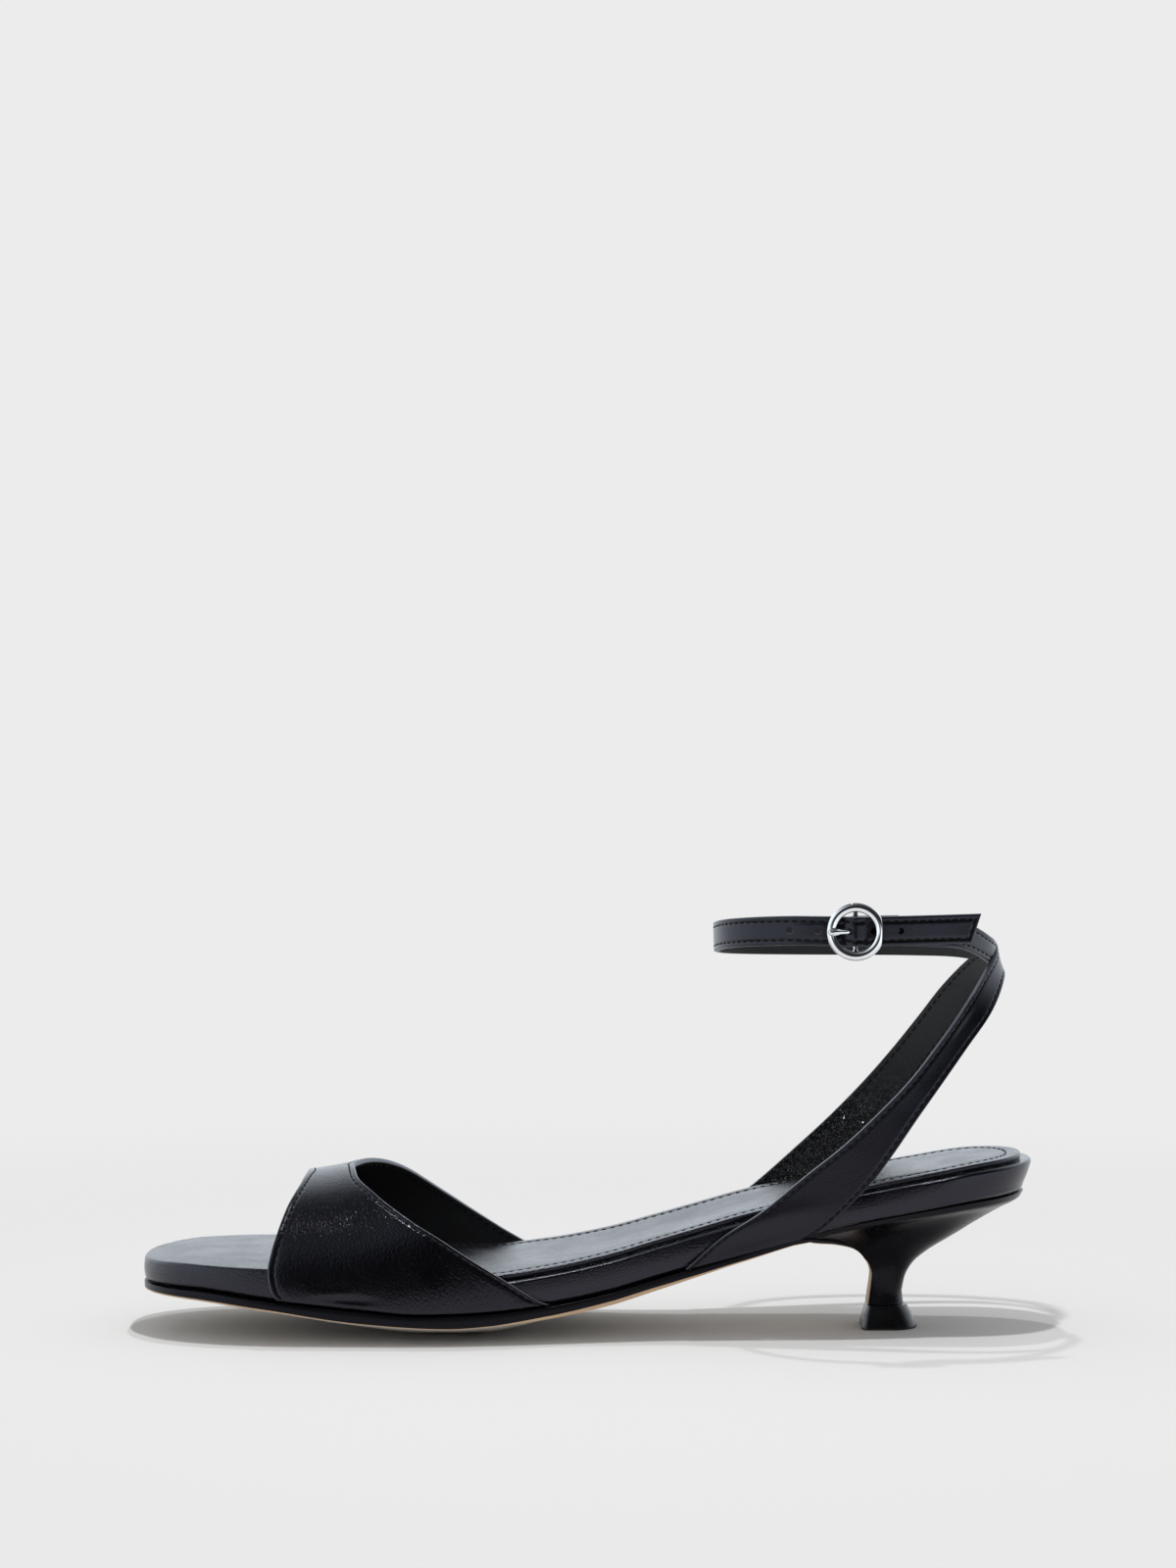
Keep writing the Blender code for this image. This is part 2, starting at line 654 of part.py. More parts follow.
def prong_path():
    """From the bar, through the tail end, to rest on the ring."""
    rest = RING_Y - RING_DEPTH - PRONG_REST_GAP - PRONG_RADIUS
    over_bar = BAR_Y - BAR_RADIUS - PRONG_BAR_GAP - PRONG_RADIUS
    return (BUCKLE_X + PRONG_START, over_bar, BUCKLE_Z), (BUCKLE_X - RING_RADIUS, rest, BUCKLE_Z)


def build():
    for old in list(bpy.data.objects):
        bpy.data.objects.remove(old)
    parts = bpy.data.collections.new("kitten_heel_sandal")
    tools = bpy.data.collections.new("cutters")
    for group in (parts, tools):
        bpy.context.scene.collection.children.link(group)

    place("outsole", outsole_mesh(), finish("sole_leather", TAN, 0.55), parts, 50)
    place("footbed", footbed_mesh(), finish("footbed_leather", BLACK, 0.4), parts)
    place("insole", insole_mesh(), finish("sock_leather", BLACK, 0.45), parts)
    place("heel", heel_mesh(), finish("heel_leather", BLACK, 0.38), parts)
    place("heel_tip", heel_tip_mesh(), finish("tip_plastic", TIP_BLACK, 0.4), parts)

    vamp = place("vamp", vamp_mesh(), finish("vamp_leather", BLACK, 0.4), parts)
    thicken(vamp, VAMP_WALL, 1.0)

    add_straps(parts, tools, finish("strap_leather", BLACK, 0.42))
    add_buckle(parts, tools, finish("polished_steel", STEEL, 0.12, 1.0))


def add_straps(parts, tools, leather):
    """Both straps, one solid joined where they cross behind the ankle."""
    outer = place("ankle_straps", ribbon_mesh("outer_strap", OUTER_STRAP_ROWS), leather, parts)
    thicken(outer, STRAP_WALL, 0.0)
    for step in HOLES_FROM_PRONG:
        x = PRONG_HOLE_X + step * HOLE_PITCH
        near, far = (x, RING_Y - PUNCH_REACH, BUCKLE_Z), (x, RING_Y + PUNCH_REACH, BUCKLE_Z)
        punch = rod_mesh("punch", near, far, HOLE_RADIUS, PIN_SIDES)
        combine(outer, cutter("punch_%d" % (step + 3), punch, tools), "DIFFERENCE")
    start, end = (np.array(p) for p in prong_path())
    stretch = SLIT_STRETCH * (end - start)
    slit = rod_mesh("slit", start - stretch, end + stretch, PRONG_RADIUS + GAP, PIN_SIDES)
    combine(outer, cutter("prong_slit", slit, tools), "DIFFERENCE")

    inner = place("inner_strap", ribbon_mesh("inner_strap", INNER_STRAP_ROWS), leather, parts)
    thicken(inner, STRAP_WALL, 0.0)
    low, high = BUCKLE_Z - STRAP_HALF_WIDTH, BUCKLE_Z + STRAP_HALF_WIDTH
    eye_radius = BAR_RADIUS + GAP + EYE_WALL
    eye = rod_mesh("eye", (BUCKLE_X, BAR_Y, low), (BUCKLE_X, BAR_Y, high), eye_radius, EYE_SIDES)
    combine(inner, cutter("strap_eye", eye, tools), "UNION")
    below, above = (BUCKLE_X, BAR_Y, low - CUT_PAST), (BUCKLE_X, BAR_Y, high + CUT_PAST)
    bore = rod_mesh("bore", below, above, BAR_RADIUS + GAP)
    combine(inner, cutter("bar_bore", bore, tools), "DIFFERENCE")
    slot_low = (BUCKLE_X - SLOT_BEFORE, BAR_Y - SLOT_BEFORE, BUCKLE_Z - PRONG_SLOT / 2)
    slot_high = (BUCKLE_X + SLOT_BEHIND, BAR_Y + SLOT_BEFORE, BUCKLE_Z + PRONG_SLOT / 2)
    combine(inner, cutter("prong_slot", box_mesh("slot", slot_low, slot_high), tools), "DIFFERENCE")

    bpy.context.view_layer.update()
    joined = cutter("inner_strap_solid", applied(inner), tools)
    combine(outer, joined, "UNION")


def add_buckle(parts, tools, steel):
    """Flattened wire ring with a bar across it, and the prong that turns on the bar."""
    bpy.ops.mesh.primitive_torus_add(major_radius=RING_RADIUS * MM, minor_radius=RING_WIRE * MM,
                                     major_segments=RING_TURNS, minor_segments=RING_SIDES)
    torus = bpy.context.object
    ring = torus.data.copy()
    bpy.data.objects.remove(torus)
    for vertex in ring.vertices:
        x, z, depth = vertex.co
        x = min(x, RING_FLAT * MM)
        y = RING_Y * MM + depth * RING_DEPTH / RING_WIRE
        vertex.co = (BUCKLE_X * MM + x, y, BUCKLE_Z * MM - z)
    frame = place("buckle_frame", ring, steel, parts, 60)
    bends = ((RING_RADIUS, RING_Y), (BAR_HALF, BAR_Y), (-BAR_HALF, BAR_Y), (-RING_RADIUS, RING_Y))
    route = [(BUCKLE_X, y, BUCKLE_Z + rise) for rise, y in bends]
    combine(frame, cutter("centre_bar", wire_mesh("bar", route, BAR_RADIUS), tools), "UNION")

    start, end = prong_path()
    slope = (end[1] - start[1]) / (end[0] - start[0])
    tip = (PRONG_TIP_X, end[1] + slope * (PRONG_TIP_X - end[0]), BUCKLE_Z)
    pin = rod_mesh("buckle_prong", start, tip, PRONG_RADIUS, PIN_SIDES)
    prong = place("buckle_prong", pin, steel.copy(), parts, 60)
    loop_radius = BAR_RADIUS + GAP
    low, high = BUCKLE_Z - KNUCKLE_HALF, BUCKLE_Z + KNUCKLE_HALF
    ends = (BUCKLE_X, BAR_Y, low), (BUCKLE_X, BAR_Y, high)
    knuckle = rod_mesh("knuckle", *ends, loop_radius + KNUCKLE_WALL, EYE_SIDES)
    combine(prong, cutter("prong_knuckle", knuckle, tools), "UNION")
    below, above = (BUCKLE_X, BAR_Y, low - CUT_PAST), (BUCKLE_X, BAR_Y, high + CUT_PAST)
    bore = rod_mesh("prong_bore", below, above, loop_radius)
    combine(prong, cutter("prong_bore", bore, tools), "DIFFERENCE")


build()
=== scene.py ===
"""Finish of a left kitten-heel sandal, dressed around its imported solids.

Toe at -X, heel at +X, outer side of the foot at -Y. Shapes are worked out in millimetres.
"""
import math

import bmesh
import bpy
import numpy as np
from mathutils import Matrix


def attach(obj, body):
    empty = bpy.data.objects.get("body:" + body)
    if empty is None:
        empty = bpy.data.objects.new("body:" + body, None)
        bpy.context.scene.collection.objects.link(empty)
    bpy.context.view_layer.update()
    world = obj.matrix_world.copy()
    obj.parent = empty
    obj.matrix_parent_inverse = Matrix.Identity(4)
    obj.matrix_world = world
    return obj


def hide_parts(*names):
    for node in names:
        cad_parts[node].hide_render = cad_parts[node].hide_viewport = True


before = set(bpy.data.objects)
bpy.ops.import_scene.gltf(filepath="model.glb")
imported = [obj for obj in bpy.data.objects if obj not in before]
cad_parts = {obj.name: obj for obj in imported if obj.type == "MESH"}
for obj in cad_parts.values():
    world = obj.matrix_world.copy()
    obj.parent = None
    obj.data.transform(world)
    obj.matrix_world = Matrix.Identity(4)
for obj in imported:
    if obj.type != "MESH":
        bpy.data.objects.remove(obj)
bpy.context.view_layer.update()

# Camera
# A long lens level with the ankle's outer side, 1.3 m away and tipped down by two degrees.
CAMERA_AWAY = 1.3
CAMERA_HEIGHT = 0.201
CAMERA_TIP = math.radians(2.23)
FOCAL_PIXELS = 4810.0
FRAME_PIXELS = 1600.0
SENSOR = 36.0

camera_data = bpy.data.cameras.new("camera")
camera_data.sensor_width = SENSOR
camera_data.lens = SENSOR * FOCAL_PIXELS / FRAME_PIXELS
camera = bpy.data.objects.new("camera", camera_data)
camera.location = (0.0, -CAMERA_AWAY, CAMERA_HEIGHT)
camera.rotation_euler = (math.pi / 2 - CAMERA_TIP, 0.0, 0.0)
bpy.context.scene.collection.objects.link(camera)
bpy.context.scene.camera = camera
bpy.context.scene.view_settings.view_transform = "Standard"

# Studio
# Pale floor that runs into a pale backdrop. Two small lamps over the sandal, one in front and a weaker one
# behind, throw the shadows. The leather mirrors bright walls and floor, and a dark room above and in front.
FLOOR_RADIUS = 2.4
FLOOR_SEGMENTS = 96
FLOOR_FADE = (0.18, 0.55)
FLOOR_COLOUR = (0.8, 0.8, 0.8, 1.0)
FLOOR_ROUGHNESS = 0.9
BACKDROP = (0.838, 0.838, 0.838, 1.0)
SOFT_LIGHT = (0.53, 0.53, 0.53, 1.0)
WALL_TINT = (0.94, 1.02, 1.09, 1.0)
WALL_BRIGHT = 1.15
CEILING_SHARE = 0.1
CEILING_SPAN = (0.5, 1.0)
FRONT_LOW = 1.25
FRONT_DARK = 0.03
FRONT_SPAN = (-0.09, 0.05)
FRONT_PATCH = 0.1
FRONT_PATCH_SPAN = (-0.94, -0.985)
FRONT_TO_BACK = (-0.9, -0.1)
LEFT_LEAN = 0.65
# Name, place, strength, radius, and whether it is only a glint
LAMPS = (
    ("front_lamp", (0.013, -0.115, 0.63), 14.4, 0.014, False),
    ("front_glint", (0.013, -0.115, 0.63), 10.0, 0.014, True),
    ("back_lamp", (0.013, 0.13, 0.63), 6.9, 0.009, False),
    ("back_glint", (0.013, 0.13, 0.63), 4.0, 0.014, True),
)


def set_inputs(node, *sources, **values):
    """Fills a node's inputs, in order or by name: another node's output is linked, anything else is set."""
    named = [(node.inputs[name.replace("_", " ")], value) for name, value in values.items()]
    for socket, value in [*zip(node.inputs, sources), *named]:
        if isinstance(value, bpy.types.NodeSocket):
            node.id_data.links.new(value, socket)
        else:
            socket.default_value = value


def new_node(tree, kind, *sources, **values):
    """Node with its own settings made and its inputs filled."""
    node = tree.nodes.new(kind)
    for name in [name for name in values if hasattr(node, name)]:
        setattr(node, name, values.pop(name))
    set_inputs(node, *sources, **values)
    return node


def maths(tree, operation, *sources):
    return new_node(tree, "ShaderNodeMath", *sources, operation=operation).outputs[0]


def vector_maths(tree, operation, *sources, **values):
    node = new_node(tree, "ShaderNodeVectorMath", *sources, operation=operation, **values)
    return node.outputs["Value" if operation in ("LENGTH", "DOT_PRODUCT") else "Vector"]


def ramp(tree, source, low, high, to_low=0.0, to_high=1.0, interpolation="SMOOTHSTEP"):
    """A value from low to high put out as to_low to to_high, in a smooth step unless said otherwise."""
    node = new_node(tree, "ShaderNodeMapRange", interpolation_type=interpolation, Value=source,
                    From_Min=low, From_Max=high, To_Min=to_low, To_Max=to_high)
    return node.outputs["Result"]


def place_on(tree):
    """The piece's own coordinates, in metres."""
    return new_node(tree, "ShaderNodeTexCoord").outputs["Object"]


def axes_of(tree, vector):
    return new_node(tree, "ShaderNodeSeparateXYZ", vector).outputs


def new_material(name):
    material = bpy.data.materials.new(name)
    material.use_nodes = True
    return material, material.node_tree, material.node_tree.nodes["Principled BSDF"]


def add_floor():
    shape = bmesh.new()
    bmesh.ops.create_circle(shape, cap_ends=True, segments=FLOOR_SEGMENTS, radius=FLOOR_RADIUS)
    mesh = bpy.data.meshes.new("floor")
    shape.to_mesh(mesh)
    shape.free()
    material, tree, shader = new_material("floor_paper")
    away = vector_maths(tree, "LENGTH", place_on(tree))
    set_inputs(shader, Base_Color=FLOOR_COLOUR, Roughness=FLOOR_ROUGHNESS, Specular_IOR_Level=0.0,
               Alpha=ramp(tree, away, *FLOOR_FADE, 1.0, 0.0))
    mesh.materials.append(material)
    floor = bpy.data.objects.new("floor", mesh)
    bpy.context.scene.collection.objects.link(floor)


def add_room():
    """Backdrop for the eye, even soft light for matt faces, and bright walls for the leather to mirror."""
    world = bpy.data.worlds.new("studio")
    bpy.context.scene.world = world
    world.use_nodes = True
    world.cycles.sampling_method = "NONE"
    tree = world.node_tree
    soft = tree.nodes["Background"]
    set_inputs(soft, Color=SOFT_LIGHT)
    x, y, z = axes_of(tree, new_node(tree, "ShaderNodeTexCoord").outputs["Generated"])
    leaning = maths(tree, "MULTIPLY_ADD", x, -LEFT_LEAN, y)
    front = ramp(tree, z, *FRONT_SPAN, FRONT_LOW, FRONT_DARK)
    behind = ramp(tree, z, *CEILING_SPAN, WALL_BRIGHT, WALL_BRIGHT * CEILING_SHARE)
    round_about = new_node(tree, "ShaderNodeMix", data_type="FLOAT",
                           Factor=ramp(tree, leaning, *FRONT_TO_BACK), A=front, B=behind)
    patch = ramp(tree, y, *FRONT_PATCH_SPAN, 1.0, FRONT_PATCH)
    bright = maths(tree, "MULTIPLY", round_about.outputs["Result"], patch)
    walls = new_node(tree, "ShaderNodeBackground", Color=WALL_TINT, Strength=bright)
    seen = new_node(tree, "ShaderNodeBackground", Color=BACKDROP)
    rays = new_node(tree, "ShaderNodeLightPath").outputs
    shown = soft.outputs[0]
    for ray, light in (("Is Glossy Ray", walls), ("Is Camera Ray", seen)):
        shown = new_node(tree, "ShaderNodeMixShader", rays[ray], shown, light.outputs[0]).outputs[0]
    set_inputs(tree.nodes["World Output"], Surface=shown)


def add_lamp(name, place, strength, radius, glint):
    """Small bulb whose light doesn't weaken with distance: the light itself, or its glint in gloss."""
    data = bpy.data.lights.new(name, "POINT")
    data.energy = strength
    data.shadow_soft_size = radius
    data.use_nodes = True
    even = new_node(data.node_tree, "ShaderNodeLightFalloff", Strength=1.0)
    set_inputs(data.node_tree.nodes["Emission"], Strength=even.outputs["Constant"])
    lamp = bpy.data.objects.new(name, data)
    lamp.location = place
    lamp.visible_glossy = glint
    lamp.visible_diffuse = not glint
    bpy.context.scene.collection.objects.link(lamp)


add_floor()
add_room()
for lamp_values in LAMPS:
    add_lamp(*lamp_values)

# Footbed
# Insole board wrapped in black nappa leather, drawn over a rounded rim and lasted under.
# It carries the shoe's bottom line: toe spring, ball, arch and the ramp up to the heel seat.
MM = 0.001
TOE_X = -122.5
HEEL_X = 122.5
TOE_ROUND = 45.0
TOE_SQUARENESS = 2.5
HEEL_ROUND = 27.0
HEEL_SQUARENESS = 2.2
HEEL_TAPER = 2.2
HEEL_TAPER_X = 70.0
SOLE_COLUMNS = ("x", "feather", "top", "arch", "edge", "middle", "lateral", "medial")
SOLE_ROWS = (
    (-122.5, 14.3, 20.0, 0.0, 12.2, 11.5, 33.0, 33.0),
    (-108.0, 14.4, 21.1, 0.0, 11.8, 9.8, 34.4, 34.0),
    (-86.0, 12.3, 20.9, 0.0, 9.5, 5.8, 36.2, 35.6),
    (-62.0, 9.9, 18.4, 0.0, 6.3, 1.8, 37.1, 37.2),
    (-46.0, 8.5, 16.9, 0.2, 5.05, 0.0, 37.2, 35.9),
    (-37.0, 8.55, 16.75, 0.4, 4.75, 0.0, 36.6, 34.2),
    (-28.0, 8.9, 16.8, 0.6, 5.2, 0.0, 35.6, 32.3),
    (-11.0, 10.6, 18.7, 1.0, 7.1, 3.8, 32.6, 28.6),
    (6.0, 13.7, 22.0, 1.4, 10.3, 8.0, 29.4, 25.2),
    (18.0, 17.0, 25.3, 1.6, 13.9, 12.4, 27.6, 23.8),
    (30.0, 20.5, 28.7, 1.6, 17.8, 16.7, 26.9, 23.6),
    (42.0, 24.0, 32.2, 1.4, 21.7, 20.8, 26.6, 24.2),
    (55.0, 27.3, 35.4, 1.0, 25.0, 24.4, 26.3, 25.2),
    (68.0, 30.6, 38.4, 0.6, 28.3, 28.3, 26.0, 25.8),
    (92.0, 35.4, 43.2, 0.2, 33.0, 33.0, 25.8, 25.8),
    (107.0, 37.8, 45.9, 0.0, 35.5, 35.5, 25.6, 25.6),
    (122.5, 39.0, 47.4, 0.0, 37.0, 37.0, 25.4, 25.4),
)
OUTLINE_STEPS = 600
FOOTBED_UNDER_ROUND = 1.5
FOOTBED_UNDER_INSET = 0.001
FOOTBED_UNDER_TURNS = 7
FOOTBED_WALL_SHARES = (0.2, 0.4, 0.6, 0.8)
FOOTBED_RIM_WIDTH = 1.0
FOOTBED_RIM_HEIGHT = 0.9
FOOTBED_RIM_TURNS = 10
FOOTBED_BELLY = 0.15
FOOTBED_POINTS = 230
FOOTBED_CELLS = 26
TOE_CROWN = 0.5
TOE_CROWN_X = (-66.0, -100.0)
TOE_CROWN_HALF = 34.0
GRAIN_BEND = 0.6
DOME_SOFTNESS = 0.15
DOME_SPAN = (0.05, 0.85)
DOME_HEIGHT = 0.75
CREASE_SCALE = 0.45
CREASE_WIDTH = 0.1
CREASE_HEIGHT = 0.25
MOTTLE_SCALE = 0.04
MOTTLE_SPAN = (0.3, 0.7)
GLOSS_SPREAD = 0.04
HALF_WAY = (0.5, 0.5, 0.5)
BLACK_NAPPA = (0.0015, 0.0015, 0.002, 1.0)
NAPPA_SHEEN = (0.004, 0.004, 0.005, 1.0)
LEATHER_SPECULAR = 0.45
LEATHER_TINT = (0.82, 0.81, 1.0, 1.0)


def smooth_line(xs, ys):
    """Curve through table rows that never overshoots them."""
    xs = np.asarray(xs, float)
    ys = np.asarray(ys, float)
    steps = np.diff(xs)
    slopes = np.diff(ys) / steps
    tangents = np.concatenate(([slopes[0]], np.zeros(len(xs) - 2), [slopes[-1]]))
    for i in range(1, len(xs) - 1):
        if slopes[i - 1] * slopes[i] > 0:
            before = 2 * steps[i] + steps[i - 1]
            after = steps[i] + 2 * steps[i - 1]
            tangents[i] = (before + after) / (before / slopes[i - 1] + after / slopes[i])

    def at(x):
        x = np.clip(x, xs[0], xs[-1])
        i = np.clip(np.searchsorted(xs, x, side="right") - 1, 0, len(xs) - 2)
        h = steps[i]
        t = (x - xs[i]) / h
        rise = (1 + 2 * t) * (1 - t) ** 2 * ys[i] + t * t * (3 - 2 * t) * ys[i + 1]
        return rise + h * (t * (1 - t) ** 2 * tangents[i] + t * t * (t - 1) * tangents[i + 1])

    return at


def table(columns, rows):
    """One smooth line for each column of a table, over its first column."""
    keys = [row[0] for row in rows]
    return {name: smooth_line(keys, [row[i] for row in rows]) for i, name in enumerate(columns) if i}


SOLE = table(SOLE_COLUMNS, SOLE_ROWS)


def ease(start, end, x):
    """Smooth step from 0 at start to 1 at end."""
    t = np.clip((x - start) / (end - start), 0.0, 1.0)
    return t * t * (3 - 2 * t)


def end_round(distance, radius, power):
    """Share of the full width at a distance from a rounded end."""
    short = np.clip((radius - distance) / radius, 0.0, 1.0)
    return (1 - short ** power) ** (1 / power)


def half_width(side, x):
    """Footbed outline on one side of the foot, with its round toe and heel."""
    toe = end_round(x - TOE_X, TOE_ROUND, TOE_SQUARENESS)
    heel = end_round(HEEL_X - x, HEEL_ROUND, HEEL_SQUARENESS)
    return SOLE[side](x) * toe * heel


def arch_lift(x, y):
    """Rise of the footbed towards the inner side of the arch."""
    return SOLE["arch"](x) * np.maximum(0.0, y) / SOLE["medial"](x)


def heel_taper(x):
    """How far the footbed's side leans in, top to bottom, round the heel."""
    share = np.clip((x - HEEL_TAPER_X) / (HEEL_X - HEEL_TAPER_X), 0.0, 1.0)
    return HEEL_TAPER * share * share


def footbed_top(x, y):
    crown = TOE_CROWN * ease(*TOE_CROWN_X, x) * (1 - (y / TOE_CROWN_HALF) ** 2)
    return SOLE["top"](x) + arch_lift(x, y) + np.maximum(0.0, crown)


def at_steps(line, places):
    """Points of a dense line at given distances along it."""
    steps = np.linalg.norm(np.diff(line, axis=0), axis=1)
    length = np.concatenate(([0.0], np.cumsum(steps)))
    return np.stack([np.interp(places(length[-1]), length, column) for column in line.T], axis=1)


def outline(width, start, end, count):
    """Plan line at even steps: toe tip, outer side, heel tip, inner side."""
    turns = np.linspace(0.0, math.pi, OUTLINE_STEPS)
    x = start + (end - start) * 0.5 * (1 - np.cos(turns))

    def evenly(length):
        return np.linspace(0.0, length, count + 1)

    outer = at_steps(np.stack((x, -width("lateral", x)), axis=1), evenly)
    inner = at_steps(np.stack((x, width("medial", x)), axis=1), evenly)
    return np.vstack((outer, inner[-2:0:-1]))


def inset_line(loop, distance):
    """A plan line moved inwards by a distance, which may differ from point to point."""
    along = np.roll(loop, -1, axis=0) - np.roll(loop, 1, axis=0)
    along /= np.linalg.norm(along, axis=1)[:, None]
    return loop + np.stack((-along[:, 1], along[:, 0]), axis=1) * np.reshape(distance, (-1, 1))


def ring_faces(count, rings):
    """Quads between closed rings of points that follow one another."""
    faces = []
    for r in range(rings - 1):
        for i in range(count):
            j = (i + 1) % count
            faces.append((r * count + i, r * count + j, (r + 1) * count + j, (r + 1) * count + i))
    return faces


def mesh_from(name, points, faces, slots=None, sharp=None):
    """Smooth mesh in metres with its faces pointing out, creased past a sharp angle in degrees."""
    mesh = bpy.data.meshes.new(name)
    mesh.from_pydata((np.asarray(points, float) * MM).tolist(), [], faces)
    if slots is not None:
        mesh.polygons.foreach_set("material_index", slots)
    shape = bmesh.new()
    shape.from_mesh(mesh)
    bmesh.ops.recalc_face_normals(shape, faces=shape.faces)
    shape.to_mesh(mesh)
    shape.free()
    mesh.shade_smooth()
    if sharp:
        mesh.set_sharp_from_angle(angle=math.radians(sharp))
    return mesh


def rung_faces(rows):
    """Faces across a sole layer, from rows of point numbers that start and end at single tips."""
    faces = []
    for before, after in zip(rows[:-1], rows[1:]):
        if len(before) == 1:
            faces += [(before[0], a, b) for a, b in zip(after[:-1], after[1:])]
        elif len(after) == 1:
            faces += [(a, b, after[0]) for a, b in zip(before[:-1], before[1:])]
        else:
            faces += [(before[k], before[k + 1], after[k + 1], after[k]) for k in range(len(before) - 1)]
    return faces


def layer_mesh(name, rings, top, cells):
    """Sole layer from rings, bottom to top, with a gridded upper face and a plain lower one."""
    count = len(rings[0])
    half = count // 2
    points = [tuple(p) for ring in rings for p in ring]
    faces = ring_faces(count, len(rings))
    last = count * (len(rings) - 1)
    under = [[0]] + [[k, count - k] for k in range(1, half)] + [[half]]
    over = [[last]]
    for k in range(1, half):
        outer, inner = np.array(points[last + k]), np.array(points[last + count - k])
        row = [last + k]
        for share in np.linspace(0.0, 1.0, cells + 1)[1:-1]:
            x, y = (outer + (inner - outer) * share)[:2]
            row.append(len(points))
            points.append((x, y, float(top(x, y))))
        over.append(row + [last + count - k])
    over.append([last + half])
    return mesh_from(name, points, faces + rung_faces(under) + rung_faces(over))


def footbed_mesh():
    loop = outline(half_width, TOE_X, HEEL_X, FOOTBED_POINTS)
    feather = SOLE["feather"](loop[:, 0])
    taper = heel_taper(loop[:, 0])
    rings = []

    def ring(inset, lean, rise=None, drop=None):
        plan = inset_line(loop, inset + lean * taper)
        x, y = plan.T
        z = feather + rise if drop is None else footbed_top(x, y) - drop
        rings.append(np.stack((x, y, z), axis=1))

    for turn in np.linspace(0.0, math.pi / 2, FOOTBED_UNDER_TURNS):
        inset = FOOTBED_UNDER_ROUND * (1 - math.sin(turn)) + FOOTBED_UNDER_INSET
        ring(inset, 1.0, FOOTBED_UNDER_ROUND * (1 - math.cos(turn)))
    wall = SOLE["top"](loop[:, 0]) - feather - FOOTBED_UNDER_ROUND - FOOTBED_RIM_HEIGHT
    for share in FOOTBED_WALL_SHARES:
        belly = FOOTBED_BELLY * math.sin(math.pi * share)
        ring(-belly, 1 - share, FOOTBED_UNDER_ROUND + wall * share)
    for turn in np.linspace(0.0, math.pi / 2, FOOTBED_RIM_TURNS):
        inset = FOOTBED_RIM_WIDTH * (1 - math.cos(turn))
        ring(inset, 0.0, drop=FOOTBED_RIM_HEIGHT * (1 - math.sin(turn)))
    return layer_mesh("footbed_cover", rings, footbed_top, FOOTBED_CELLS)


def new_sockets(tree, way, **kinds):
    """Inputs or outputs of a node group, by name and kind."""
    for name, kind in kinds.items():
        tree.interface.new_socket(name.replace("_", " "), in_out=way, socket_type="NodeSocket" + kind)


def leather_grain_group():
    """Domed pebbles of a fine hide with creases between them, and a slow mottle of the finish."""
    tree = bpy.data.node_groups.new("leather_grain", "ShaderNodeTree")
    new_sockets(tree, "INPUT", Vector="Vector", Pebbles_a_Metre="Float")
    new_sockets(tree, "OUTPUT", Height="Float", Mottle="Float")
    given = new_node(tree, "NodeGroupInput").outputs
    place, pebbles = given["Vector"], given["Pebbles a Metre"]

    bend = new_node(tree, "ShaderNodeTexNoise", Vector=place, Scale=pebbles, Detail=2.0).outputs["Color"]
    centred = vector_maths(tree, "SUBTRACT", bend, HALF_WAY)
    pushed = vector_maths(tree, "SCALE", centred, Scale=maths(tree, "DIVIDE", GRAIN_BEND, pebbles))
    bent = vector_maths(tree, "ADD", place, pushed)
    domes = new_node(tree, "ShaderNodeTexVoronoi", feature="SMOOTH_F1", Vector=bent, Scale=pebbles,
                     Smoothness=DOME_SOFTNESS)
    creases = new_node(tree, "ShaderNodeTexVoronoi", feature="DISTANCE_TO_EDGE", Vector=bent,
                       Scale=maths(tree, "MULTIPLY", pebbles, CREASE_SCALE))
    dome = ramp(tree, domes.outputs["Distance"], *DOME_SPAN, DOME_HEIGHT, 0.0)
    crease = ramp(tree, creases.outputs["Distance"], 0.0, CREASE_WIDTH, 0.0, CREASE_HEIGHT)
    mottle = new_node(tree, "ShaderNodeTexNoise", Vector=place, Detail=4.0, Roughness=0.6,
                      Scale=maths(tree, "MULTIPLY", pebbles, MOTTLE_SCALE))
    new_node(tree, "NodeGroupOutput", Height=maths(tree, "ADD", dome, crease), Mottle=mottle.outputs["Fac"])
    return tree


LEATHER_GRAIN = leather_grain_group()


def blend(tree, share, first, second):
    """Colour between two others."""
    mix = new_node(tree, "ShaderNodeMix", data_type="RGBA", Factor=share, A=first, B=second)
    return mix.outputs["Result"]


def bumped(tree, height, strength, depth):
    """Normal of a face that a height of 1 raises by a depth in metres."""
    bump = new_node(tree, "ShaderNodeBump", Height=height, Strength=strength, Distance=depth)
    return bump.outputs["Normal"]


